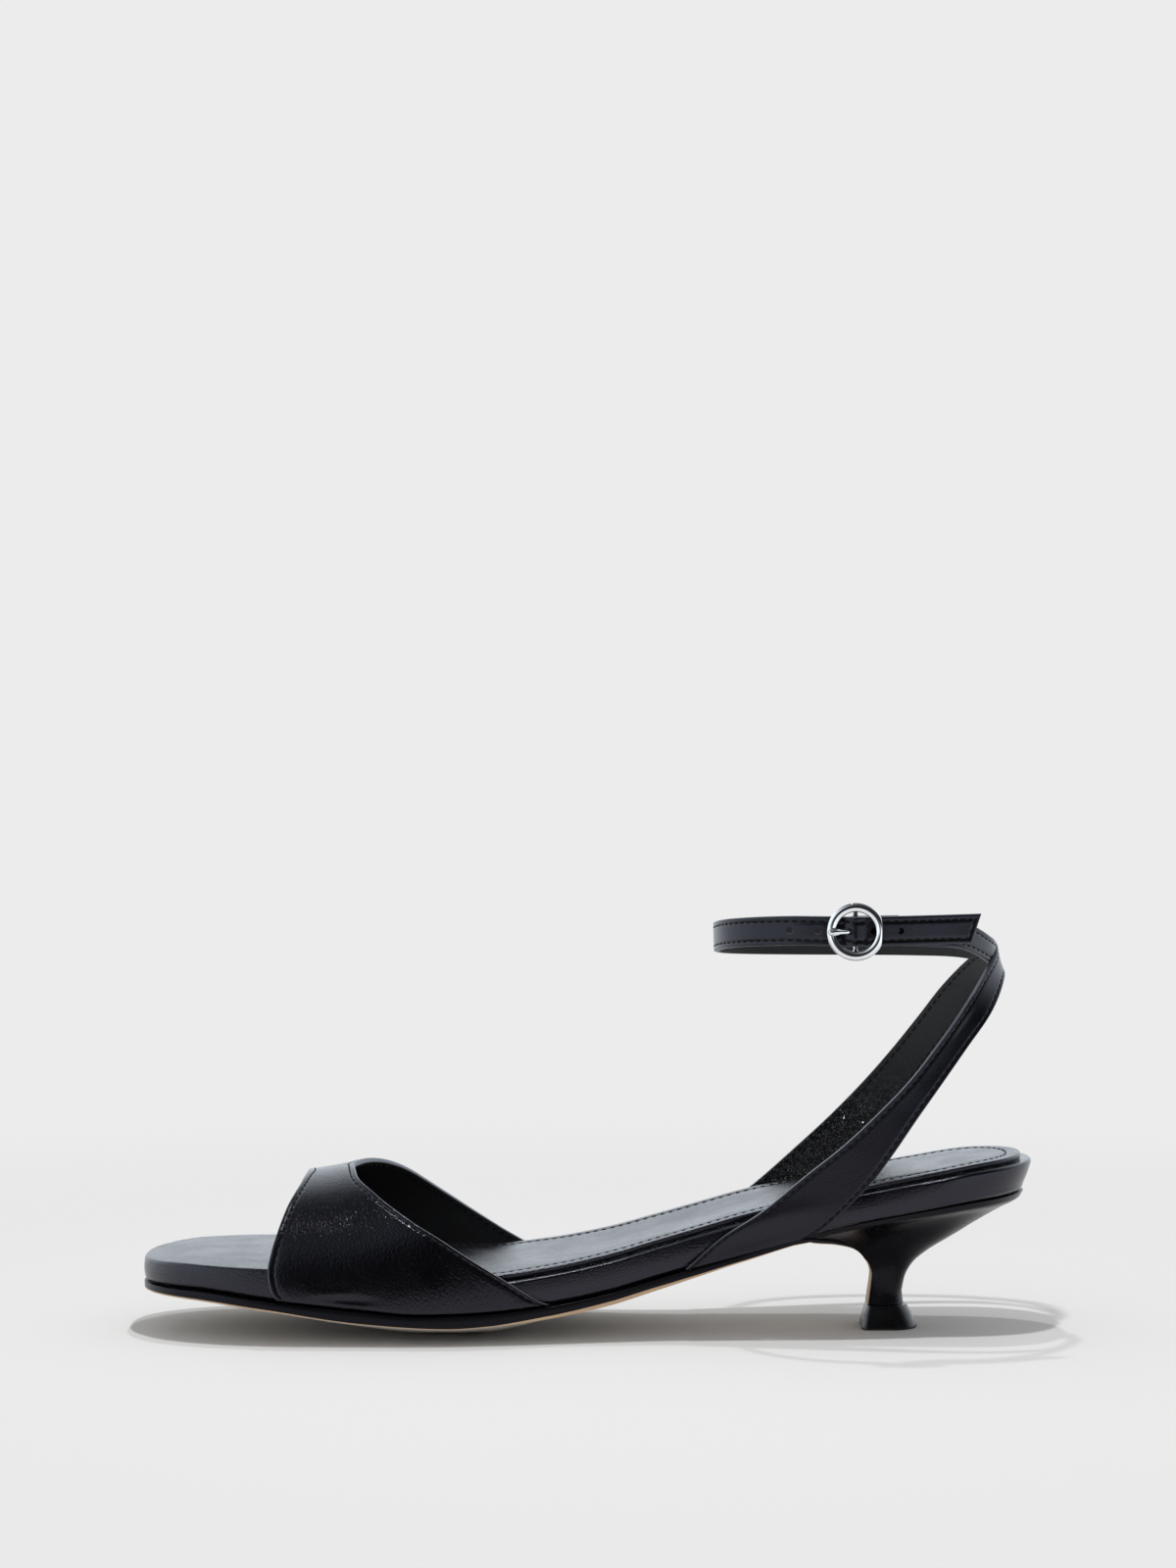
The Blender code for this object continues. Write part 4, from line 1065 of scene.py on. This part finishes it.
# Soft troughs (negative) and ridges in the vamp: side, from (x, z) to (x, z), height, half width
VAMP_CREASES = (
    ("lateral", -30.0, 27.0, -62.0, 15.5, -0.14, 4.4),
    ("lateral", -40.0, 33.0, -68.0, 22.0, 0.12, 4.4),
    ("lateral", -57.0, 12.4, -70.0, 13.2, -0.16, 1.1),
    ("lateral", -64.0, 14.6, -76.0, 14.4, 0.12, 1.2),
    ("medial", -28.0, 27.0, -58.0, 17.0, -0.20, 3.6),
    ("medial", -44.0, 36.0, -66.0, 26.0, 0.15, 4.0),
)
VAMP = table(VAMP_COLUMNS, VAMP_ROWS)
INSTEP = smooth_line(*zip(*INSTEP_ROWS))


def vamp_point(over, side, x):
    """Inner face of the vamp where the band crosses the last's section at x."""
    angle = math.pi / 2 * over ** VAMP_SPREAD
    base = SOLE["feather"](x) + GAP
    bend = 2 / VAMP_ROUNDNESS
    sign = -1 if side == "lateral" else 1
    y = sign * (half_width(side, x) + VAMP_CLEARANCE) * max(0.0, math.cos(angle)) ** bend
    return np.stack((x, y, base + (INSTEP(x) - base) * math.sin(angle) ** bend), axis=-1)


def across_stops(width, cells):
    """Shares of a band's width, close together near its edges and its seams."""
    near = np.array(EDGE_STOPS)
    middle = np.linspace(near[-1], width - near[-1], cells + 1)[1:-1]
    return np.concatenate((near, middle, width - near[::-1])) / width


def grid_directions(grid, inside):
    """Unit normals of a grid of points, on the side away from a point or points inside."""
    normals = np.cross(np.gradient(grid, axis=0), np.gradient(grid, axis=1))
    normals /= np.linalg.norm(normals, axis=2)[:, :, None]
    facing = np.sum(normals * (grid - inside))
    return normals if facing > 0 else -normals


def rounded_edge(distance, radius):
    """Drop of a face towards an edge rounded to a radius."""
    short = np.maximum(0.0, radius - distance)
    return radius - np.sqrt(radius * radius - short * short)


def band_mesh(name, grid, normals, edge_distance, wall, outer_share, relief, tuck):
    """Lined leather band: leather face, lining face and cut edges, from a grid of points on its wall.

    tuck is how far the leather face rolls in towards the lasted lower ends.
    """
    seam = SEAM_DEPTH * np.exp(-((edge_distance - SEAM_INSET) / SEAM_WIDTH) ** 2)
    rise = wall * outer_share - rounded_edge(edge_distance, EDGE_ROUND) - seam + relief - tuck
    fall = wall * (1 - outer_share) - rounded_edge(edge_distance, LINING_ROUND) - relief
    face = grid + normals * rise[:, :, None]
    lining = grid - normals * fall[:, :, None]
    sections = np.concatenate((face, lining[:, ::-1]), axis=1)
    rows, count = sections.shape[:2]
    cells = grid.shape[1] - 1
    one = [LEATHER_SLOT] * cells + [EDGE_HIGHLIGHT_SLOT] + [LINING_SLOT] * cells + [EDGE_HIGHLIGHT_SLOT]
    # Rim cells next to each long edge get the edge colour, a painted highlight line
    for k in range(HIGHLIGHT_RIM_CELLS):
        one[k] = one[cells - 1 - k] = EDGE_HIGHLIGHT_SLOT
    slots = one * (rows - 1) + [EDGE_HIGHLIGHT_SLOT, EDGE_HIGHLIGHT_SLOT]
    return mesh_from(name, sections.reshape(-1, 3), capped_faces(count, rows), slots), face, lining


def crease_relief(points, creases):
    """Soft troughs and ridges along short lines seen from the side."""
    relief = np.zeros(points.shape[:2])
    for side, x0, z0, x1, z1, height, wide in creases:
        start, run = np.array((x0, z0)), np.array((x1 - x0, z1 - z0))
        away = points[:, :, (0, 2)] - start
        share = np.clip(away @ run / (run @ run), 0.0, 1.0)
        distance = np.linalg.norm(away - share[:, :, None] * run, axis=2)
        on_side = points[:, :, 1] < 0 if side == "lateral" else points[:, :, 1] > 0
        fade = np.sin(math.pi * np.clip(share, *CREASE_ENDS)) ** CREASE_FADE
        relief += on_side * height * fade * np.exp(-((distance / wide) ** 2))
    return relief


def vamp_grid():
    overs = np.linspace(0.0, 1.0, VAMP_LINES + 1) ** VAMP_LINE_CROWDING
    lines = [("lateral", over) for over in overs] + [("medial", over) for over in overs[-2::-1]]
    grid, distance = [], []
    for side, over in lines:
        front, back = float(VAMP["front_" + side](over)), float(VAMP["back_" + side](over))
        shares = across_stops(back - front, VAMP_CELLS)
        grid.append(vamp_point(over, side, front + (back - front) * shares))
        distance.append((back - front) * VAMP_SLANT * np.minimum(shares, 1 - shares))
    return np.array(grid), np.array(distance)


def row_at(face, normals, distance, inset, last_side):
    """Line on a band's face at a distance from one of its long edges."""
    half = face.shape[1] // 2
    columns = range(face.shape[1] - half, face.shape[1]) if last_side else range(half)
    nearest = [min(columns, key=lambda k: abs(distance[i, k] - inset)) for i in range(len(face))]
    rows = np.arange(len(face))
    return face[rows, nearest], normals[rows, nearest]


def lining_material(name, lean_high, lean_low, rough_low, specular):
    """Dull black lining leather, whose small flakes lean and glint more low down near the sole."""
    material, tree, shader = new_material(name)
    place = place_on(tree)
    height = axes_of(tree, place)["Z"]
    nap = noise(tree, place, scale=1500.0, detail=2.0, Roughness=0.6)
    flake = new_node(tree, "ShaderNodeTexVoronoi", Vector=place, Scale=3600.0).outputs
    offset = vector_maths(tree, "SUBTRACT", place, flake["Position"])
    tilt = vector_maths(tree, "SUBTRACT", flake["Color"], HALF_WAY)
    lean = ramp(tree, height, *LINING_LOW, lean_high, lean_low)
    lift = maths(tree, "MULTIPLY", vector_maths(tree, "DOT_PRODUCT", offset, tilt), lean)
    set_inputs(shader, Base_Color=blend(tree, nap, LINING_BLACK, LINING_GREY),
               Roughness=ramp(tree, height, *LINING_LOW, LINING_ROUGHNESS, rough_low),
               Normal=bumped(tree, lift, strength=1.0, depth=1.0), Specular_IOR_Level=specular)
    return material


UPPER_LEATHER = leather("upper_nappa", roughness=0.19, pebbles=1800.0, depth=0.00006, long=1.8, turn=-30.0,
                        smooth=("Z", 0.013, 0.03, 0.4))
LINING = lining_material("black_lining", lean_high=0.12, lean_low=0.12, rough_low=0.6, specular=0.35)
# Cut edge finish, its light grey a painted highlight along the edge
CUT_EDGE_HIGHLIGHT = leather("cut_edge_painted_highlight", roughness=0.3, pebbles=1600.0, depth=0.00002,
                   colours=(EDGE_HIGHLIGHT_DARK, EDGE_HIGHLIGHT_LIGHT))

grid, edge_distance = vamp_grid()
normals = grid_directions(grid, VAMP_INSIDE)
vamp_relief = crease_relief(grid, VAMP_CREASES) * ease(*VAMP_CREASE_FROM, edge_distance)
from_sole = grid[:, :, 2] - SOLE["feather"](grid[:, :, 0]) - GAP
vamp_tuck = rounded_edge(from_sole, VAMP_TUCK)
vamp_mesh, vamp_face, vamp_inside = band_mesh(
    "vamp_band", grid, normals, edge_distance, VAMP_WALL,
    outer_share=1.0, relief=vamp_relief, tuck=vamp_tuck)
vamp_mesh.set_sharp_from_angle(angle=VAMP_SHARP)
vamp = add_piece("vamp_band", vamp_mesh, [UPPER_LEATHER, LINING, CUT_EDGE_HIGHLIGHT])
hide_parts("vamp")
vamp_seams = []
for face, ups in ((vamp_face, normals), (vamp_inside, -normals)):
    vamp_seams += [row_at(face, ups, edge_distance, SEAM_INSET, last_side) for last_side in (False, True)]
vamp_stitches = sew("vamp_stitches", vamp_seams)

# Ankle straps
# Two lined straps lasted in at the waist. The outer one passes behind the ankle, round its inner side and
# front, and ends as the punched tail. The inner one passes behind it too and folds round the buckle's bar.
STRAP_WALL = 1.6
# Grey of the straps' cut edges and face rims: painted highlight, a thin light line standing in for light
# caught on the rounded edge
STRAP_EDGE_HIGHLIGHT_DARK = (0.016, 0.02, 0.025, 1.0)
STRAP_EDGE_HIGHLIGHT_GREY = (0.07, 0.082, 0.098, 1.0)
# Points (x, y, z) on a strap's front or upper edge and on its back or lower edge, from the sole on
OUTER_STRAP_ROWS = (
    (26.5, -28.6, 19.9, 59.0, -28.2, 28.6),
    (36.0, -28.9, 28.4, 64.4, -28.5, 31.4),
    (47.1, -29.0, 35.6, 70.2, -28.6, 36.6),
    (58.9, -29.0, 45.3, 77.0, -28.5, 43.6),
    (69.1, -28.9, 53.4, 83.0, -28.3, 51.6),
    (78.3, -28.4, 61.9, 89.2, -27.5, 60.6),
    (87.2, -27.2, 71.0, 96.2, -25.5, 70.2),
    (94.8, -24.9, 80.4, 103.2, -21.4, 79.6),
    (101.8, -20.8, 89.6, 110.0, -15.4, 88.4),
    (107.8, -13.2, 97.8, 113.8, -6.6, 95.4),
    (112.2, -3.0, 104.2, 114.5, 3.6, 98.4),
    (111.4, 9.4, 107.6, 110.8, 13.0, 100.0),
    (104.8, 19.4, 108.8, 103.6, 20.8, 101.0),
    (91.0, 26.6, 109.0, 90.6, 26.8, 101.0),
    (75.0, 28.6, 109.0, 75.0, 28.6, 101.0),
    (58.0, 27.0, 109.2, 58.2, 27.0, 101.2),
    (44.8, 20.6, 109.8, 45.0, 20.8, 101.8),
    (37.4, 10.6, 110.8, 37.6, 10.8, 102.8),
    (35.4, 0.0, 112.2, 35.6, 0.0, 104.2),
    (38.0, -11.4, 113.8, 38.2, -11.4, 105.8),
    (45.0, -20.8, 115.0, 45.0, -20.8, 107.0),
    (54.6, -26.9, 115.7, 54.6, -26.9, 107.7),
    (63.0, -29.2, 115.8, 63.0, -29.2, 107.8),
    (67.6, -30.0, 115.8, 67.6, -30.0, 107.8),
    (72.2, -32.7, 115.8, 72.2, -32.7, 107.8),
    (76.8, -30.0, 115.8, 76.8, -30.0, 107.8),
    (81.4, -29.2, 115.8, 81.4, -29.2, 107.8),
    (91.4, -27.2, 115.9, 91.2, -27.2, 107.9),
    (106.8, -20.2, 115.9, 104.0, -21.8, 107.9),
)
INNER_STRAP_ROWS = (
    (28.0, 25.4, 20.3, 60.0, 27.2, 28.9),
    (37.0, 25.6, 28.8, 65.2, 27.4, 31.8),
    (47.5, 26.3, 37.0, 71.0, 27.6, 36.8),
    (58.5, 27.2, 46.6, 77.6, 27.9, 43.8),
    (68.5, 27.7, 55.8, 83.4, 28.0, 52.0),
    (77.7, 27.8, 65.2, 89.4, 27.4, 61.0),
    (86.0, 27.1, 74.8, 96.0, 25.3, 70.8),
    (93.3, 25.0, 84.2, 102.6, 21.4, 80.2),
    (99.8, 20.8, 93.2, 108.2, 15.4, 88.8),
    (106.4, 13.0, 101.0, 112.0, 6.6, 95.2),
    (111.8, 3.2, 105.8, 112.7, -1.6, 98.8),
    (109.8, -6.4, 109.0, 108.8, -8.6, 102.4),
    (102.4, -16.8, 113.4, 101.2, -18.4, 106.2),
    (92.6, -24.2, 115.2, 92.2, -24.4, 107.2),
    (81.4, -27.2, 115.8, 81.4, -27.2, 107.8),
    (77.8, -27.9, 115.8, 77.8, -27.9, 107.8),
)
BUCKLE_X = 72.2
BUCKLE_Z = 111.8
STRAP_HALF_WIDTH = 4.0
BAR_Y = -29.8
BAR_RADIUS = 0.7
FOLD_WALL = 0.9
FOLD_RADIUS = BAR_RADIUS + GAP + FOLD_WALL / 2
FOLD_RETURN = ((75.0, -27.2), (78.6, -26.2), (84.0, -25.2))
FOLD_APPROACH = ((75.2, -29.2),)
FOLD_TURNS = np.radians(np.linspace(-90.0, -270.0, 9))
FOLD_THINS = (26.0, 19.0)
INNER_SEAM_END = 30.0
HOLE_PITCH = 7.5
HOLE_RADIUS = 0.9
HOLE_SIDES = 24
PUNCH_REACH = (-40.0, -24.0)
HOLES_FROM_PRONG = (-2, -1, 0, 1, 2)
PRONG_HOLE_X = 69.5
PRONG_PASSES_X = 70.3
PRONG_SLOT = 2.4
PRONG_SLOT_FROM = (-4.0, -4.0)
PRONG_SLOT_TO = (3.0, 4.0)
ANKLE_AXIS = np.array((75.0, 0.0))
STRAP_STEP = 1.1
STRAP_CELLS = 9
STRAP_POINTS_A_ROW = 14
STRAP_CREASE_FROM = (1.5, 4.0)
STRAP_SHARP = math.radians(48)
SEAM_TOLERANCE = 0.01
# Soft troughs and ridges where the straps are drawn in at the sole and where they turn behind the ankle
STRAP_CREASES = (
    ("lateral", 34.0, 25.5, 62.0, 32.5, -0.35, 2.6),
    ("lateral", 41.0, 30.5, 66.0, 37.5, 0.22, 3.0),
    ("lateral", 97.0, 82.0, 107.0, 90.5, -0.20, 2.2),
    ("medial", 36.0, 26.0, 63.0, 33.0, -0.35, 2.6),
    ("medial", 43.0, 31.0, 67.0, 38.0, 0.20, 3.0),
)


def smooth_rows(rows, points_a_row):
    """Catmull-Rom points through the rows of a table."""
    rows = np.asarray(rows, float)
    longer = np.vstack((2 * rows[0] - rows[1], rows, 2 * rows[-1] - rows[-2]))
    points = []
    for i in range(1, len(longer) - 2):
        before, start, end, after = longer[i - 1:i + 3]
        for t in np.arange(points_a_row) / points_a_row:
            bend = (2 * before - 5 * start + 4 * end - after) * t
            twist = (3 * start - before - 3 * end + after) * t * t
            points.append(start + 0.5 * t * (end - before + bend + twist))
    points.append(rows[-1])
    return np.array(points)


def fold_rows():
    """Rows that take the inner strap round the bar, from its outer side to its inner side, and back."""
    arc = [(BUCKLE_X + FOLD_RADIUS * math.cos(a), BAR_Y + FOLD_RADIUS * math.sin(a)) for a in FOLD_TURNS]
    high, low = BUCKLE_Z + STRAP_HALF_WIDTH, BUCKLE_Z - STRAP_HALF_WIDTH
    return [(x, y, high, x, y, low) for x, y in (*FOLD_APPROACH, *arc, *FOLD_RETURN)]


def strap_grid(rows, close_end):
    """Points of a strap's middle wall, with the distance of each from the nearest edge."""
    dense = smooth_rows(rows, STRAP_POINTS_A_ROW)
    middle = (dense[:, :3] + dense[:, 3:]) / 2
    steps = np.linalg.norm(np.diff(middle, axis=0), axis=1)
    length = np.concatenate(([0.0], np.cumsum(steps)))
    near_end = EDGE_STOPS[-1] if close_end else 0.0
    places = np.linspace(0.0, length[-1] - near_end, int(length[-1] / STRAP_STEP))
    if close_end:
        places = np.concatenate((places[:-1], length[-1] - np.array(EDGE_STOPS[::-1])))
    lines = np.stack([np.interp(places, length, column) for column in dense.T], axis=1)
    grid, distance = [], []
    for line, place in zip(lines, places):
        width = np.linalg.norm(line[3:] - line[:3])
        shares = across_stops(width, STRAP_CELLS)
        grid.append(line[:3] + shares[:, None] * (line[3:] - line[:3]))
        to_edge = width * np.minimum(shares, 1 - shares)
        to_end = length[-1] - place if close_end else math.inf
        distance.append(np.minimum(to_edge, to_end))
    return np.array(grid), np.array(distance)


def cut(piece, cutters):
    """The piece with small cutters taken out of it, and the cut walls left black."""
    for tool in cutters:
        tool.data.polygons.foreach_set("material_index", [LINING_SLOT] * len(tool.data.polygons))
        hole = piece.modifiers.new(tool.name, "BOOLEAN")
        hole.operation = "DIFFERENCE"
        hole.object = tool
    bpy.context.view_layer.update()
    mesh = plain_mesh(piece)
    for tool in cutters:
        bpy.data.objects.remove(tool)
    mesh.shade_smooth()
    mesh.set_sharp_from_angle(angle=STRAP_SHARP)
    return mesh


def punch(x):
    """Round cutter along Y through the tail."""
    turns = np.linspace(0.0, 2 * math.pi, HOLE_SIDES + 1)[:-1]
    ends = [[(x + HOLE_RADIUS * math.cos(a), y, BUCKLE_Z + HOLE_RADIUS * math.sin(a)) for a in turns]
            for y in PUNCH_REACH]
    return loose("hole", mesh_from("hole", np.vstack(ends), capped_faces(HOLE_SIDES, 2)), STRAP_MATERIALS)


def prong_slot():
    """Box cutter that lets the prong out through the fold at the bar."""
    x, y = ([middle + side[i] for side in (PRONG_SLOT_FROM, PRONG_SLOT_TO)]
            for i, middle in enumerate((BUCKLE_X, BAR_Y)))
    floor = [(x[0], y[0]), (x[1], y[0]), (x[1], y[1]), (x[0], y[1])]
    levels = (BUCKLE_Z - PRONG_SLOT / 2, BUCKLE_Z + PRONG_SLOT / 2)
    points = [(*corner, z) for z in levels for corner in floor]
    return loose("slot", mesh_from("slot", points, capped_faces(len(floor), 2)), STRAP_MATERIALS)


def strap_inside(grid):
    """Points on the ankle's axis at the height of each grid point."""
    inside = grid.copy()
    inside[:, :, :2] = ANKLE_AXIS
    return inside


def strap_shape(rows, close_end):
    """Grid, edge distances, directions out and creases of a strap."""
    grid, distance = strap_grid(rows, close_end)
    relief = crease_relief(grid, STRAP_CREASES) * ease(*STRAP_CREASE_FROM, distance)
    return grid, distance, grid_directions(grid, strap_inside(grid)), relief


def add_outer_strap():
    grid, distance, normals, relief = strap_shape(OUTER_STRAP_ROWS, close_end=True)
    wall = np.full(distance.shape, STRAP_WALL)
    mesh, face, _ = band_mesh(
        "outer_strap", grid, normals, distance, wall, outer_share=0.5, relief=relief, tuck=0.0)
    strap = loose("outer_strap_blank", mesh, STRAP_MATERIALS)
    holes = [punch(PRONG_HOLE_X + step * HOLE_PITCH if step else PRONG_PASSES_X)
             for step in HOLES_FROM_PRONG]
    strap = add_piece("outer_strap", cut(strap, holes))
    lead, up = row_at(face, normals, distance, SEAM_INSET, False)
    trail, trail_up = row_at(face, normals, distance, SEAM_INSET, True)
    end = next(i for i in range(len(distance)) if distance[i].max() <= SEAM_INSET + SEAM_TOLERANCE)
    middle = face.shape[1] // 2
    first = int(np.argmin(np.abs(distance[end - 1, :middle] - SEAM_INSET)))
    turn = face[end, first:face.shape[1] - first]
    turn_up = normals[end, first:face.shape[1] - first]
    lines = np.vstack((lead[:end], turn, trail[:end][::-1]))
    ups = np.vstack((up[:end], turn_up, trail_up[:end][::-1]))
    return strap, sew("outer_strap_stitches", [(lines, ups)])


def add_inner_strap():
    rows = list(INNER_STRAP_ROWS) + fold_rows()
    grid, distance, normals, relief = strap_shape(rows, close_end=False)
    middle = grid.mean(axis=1)
    past = np.cumsum(np.linalg.norm(np.diff(middle, axis=0, prepend=middle[:1]), axis=1))
    folded = past[-1] - past
    thin = STRAP_WALL + (FOLD_WALL - STRAP_WALL) * ease(*FOLD_THINS, folded)
    wall = np.tile(thin[:, None], (1, grid.shape[1]))
    mesh, face, inside = band_mesh(
        "inner_strap", grid, normals, distance, wall, outer_share=0.5, relief=relief, tuck=0.0)
    strap = loose("inner_strap_blank", mesh, STRAP_MATERIALS)
    strap = add_piece("inner_strap", cut(strap, [prong_slot()]))
    flat = int(np.argmax(folded < INNER_SEAM_END))
    lines = []
    for side in (False, True):
        lines.append(row_at(face[:flat], normals[:flat], distance[:flat], SEAM_INSET, side))
        lines.append(row_at(inside[:flat], -normals[:flat], distance[:flat], SEAM_INSET, side))
    return strap, sew("inner_strap_stitches", lines)


STRAP_MATERIALS = (
    leather("strap_nappa", roughness=0.26, pebbles=2000.0, depth=0.000014),
    lining_material("glinting_lining", lean_high=0.14, lean_low=2.6, rough_low=0.1, specular=0.5),
    # Cut edge finish, its grey a painted highlight along the strap's edges
    leather("strap_edge_painted_highlight", roughness=0.34, pebbles=1600.0, depth=0.00002,
            colours=(STRAP_EDGE_HIGHLIGHT_DARK, STRAP_EDGE_HIGHLIGHT_GREY)),
)
for strap_piece, strap_stitches in (add_outer_strap(), add_inner_strap()):
    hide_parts("ankle_straps")

# Buckle
# Ring of polished steel wire, flattened on its right side, with a bar bent back behind the strap
# and a round prong that is rolled round the bar and rests on the ring.
RING_Y = -32.7
RING_RADIUS = 6.6
RING_WIRE = 1.25
RING_DEPTH = 0.85
RING_FLAT = 7.1
RING_FLAT_BLEND = 0.25
RING_TURNS = 144
RING_SIDES = 28
WIRE_SIDES = 18
BAR_HALF = 5.0
# Rise from the buckle's middle, and depth: from the ring back to the straight bar
BAR_BENDS = ((RING_RADIUS, RING_Y), (BAR_HALF + 0.6, BAR_Y - 0.7), (BAR_HALF - 0.4, BAR_Y))
BAR_POINTS_A_ROW = 6
PRONG_BASE_RADIUS = 0.6
PRONG_TIP_RADIUS = 0.95
PRONG_TIP_X = 64.6
PRONG_CLEAR = 0.15
PRONG_REST = RING_Y - RING_DEPTH - PRONG_CLEAR - PRONG_TIP_RADIUS
PRONG_BENDS = (
    (70.6, -31.9),
    (68.6, -33.2),
    (66.6, PRONG_REST + 0.05),
    (65.4, PRONG_REST),
    (PRONG_TIP_X, PRONG_REST + 0.15),
)
PRONG_POINTS_A_ROW = 5
PRONG_END_SHARE = 0.04
PRONG_END_LEAST = 0.02
KNUCKLE_WALL = 0.5
KNUCKLE_TURNS = np.radians(np.linspace(200.0, -60.0, 18)[:12])
STEEL = (0.86, 0.86, 0.87, 1.0)
STEEL_RUB_SPAN = (0.35, 0.75)
STEEL_GLOSS = (0.03, 0.1)


def steel_material():
    """Polished plating with faint rub marks."""
    material, tree, shader = new_material("polished_plating")
    rubbed = noise(tree, place_on(tree), scale=700.0, detail=4.0)
    set_inputs(shader, Base_Color=STEEL, Metallic=1.0,
               Roughness=ramp(tree, rubbed, *STEEL_RUB_SPAN, *STEEL_GLOSS, interpolation="LINEAR"))
    return material


def wire_mesh(name, path, radii, aside):
    """Round wire along a path, with its sides counted from a direction that the path never takes."""
    along = np.gradient(path, axis=0)
    along /= np.linalg.norm(along, axis=1)[:, None]
    across = np.cross(along, aside)
    across /= np.linalg.norm(across, axis=1)[:, None]
    other = np.cross(along, across)
    turns = np.linspace(0.0, 2 * math.pi, WIRE_SIDES + 1)[:-1]
    rings = []
    for centre, a, b, radius in zip(path, across, other, radii):
        rings.append(centre + radius * (np.cos(turns)[:, None] * a + np.sin(turns)[:, None] * b))
    return mesh_from(name, np.vstack(rings), capped_faces(WIRE_SIDES, len(rings)))


def ring_mesh():
    points = []
    for a in np.linspace(0.0, 2 * math.pi, RING_TURNS + 1)[:-1]:
        for b in np.linspace(0.0, 2 * math.pi, RING_SIDES + 1)[:-1]:
            reach = RING_RADIUS + RING_WIRE * math.cos(b)
            x = reach * math.cos(a)
            if x > 0:
                x = RING_FLAT - RING_FLAT_BLEND * math.log1p(math.exp((RING_FLAT - x) / RING_FLAT_BLEND))
            points.append((BUCKLE_X + x, RING_Y + RING_DEPTH * math.sin(b), BUCKLE_Z + reach * math.sin(a)))
    once_round = ring_faces(RING_SIDES, RING_TURNS + 1)
    return mesh_from("buckle_ring", points, [tuple(k % len(points) for k in face) for face in once_round])


def bar_mesh():
    bends = [*BAR_BENDS, (0.0, BAR_Y), *((-rise, y) for rise, y in BAR_BENDS[::-1])]
    path = smooth_rows([(BUCKLE_X, y, BUCKLE_Z + rise) for rise, y in bends], BAR_POINTS_A_ROW)
    return wire_mesh("buckle_bar", path, np.full(len(path), BAR_RADIUS), aside=(1.0, 0.02, 0.03))


def prong_mesh():
    """Pin from the knuckle on the bar out through the tail and over the ring, with a rounded tip."""
    knuckle = BAR_RADIUS + GAP + KNUCKLE_WALL / 2
    rolled = [(BUCKLE_X + knuckle * math.cos(a), BAR_Y + knuckle * math.sin(a)) for a in KNUCKLE_TURNS]
    path = smooth_rows([(x, y, BUCKLE_Z) for x, y in (*rolled, *PRONG_BENDS)], PRONG_POINTS_A_ROW)
    share = np.linspace(0.0, 1.0, len(path))
    radii = PRONG_BASE_RADIUS + (PRONG_TIP_RADIUS - PRONG_BASE_RADIUS) * share
    radii *= np.sqrt(np.clip((1 - share) / PRONG_END_SHARE, PRONG_END_LEAST, 1.0))
    return wire_mesh("buckle_pin", path, radii, aside=(0.03, 0.02, 1.0))


def joined(name, meshes):
    shape = bmesh.new()
    for mesh in meshes:
        shape.from_mesh(mesh)
    both = bpy.data.meshes.new(name)
    shape.to_mesh(both)
    shape.free()
    both.shade_smooth()
    return both


PLATING = steel_material()
buckle = add_piece("buckle_ring", joined("buckle_ring", [ring_mesh(), bar_mesh()]), [PLATING])
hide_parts("buckle_frame")
prong = add_piece("buckle_pin", prong_mesh(), [PLATING])
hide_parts("buckle_prong")
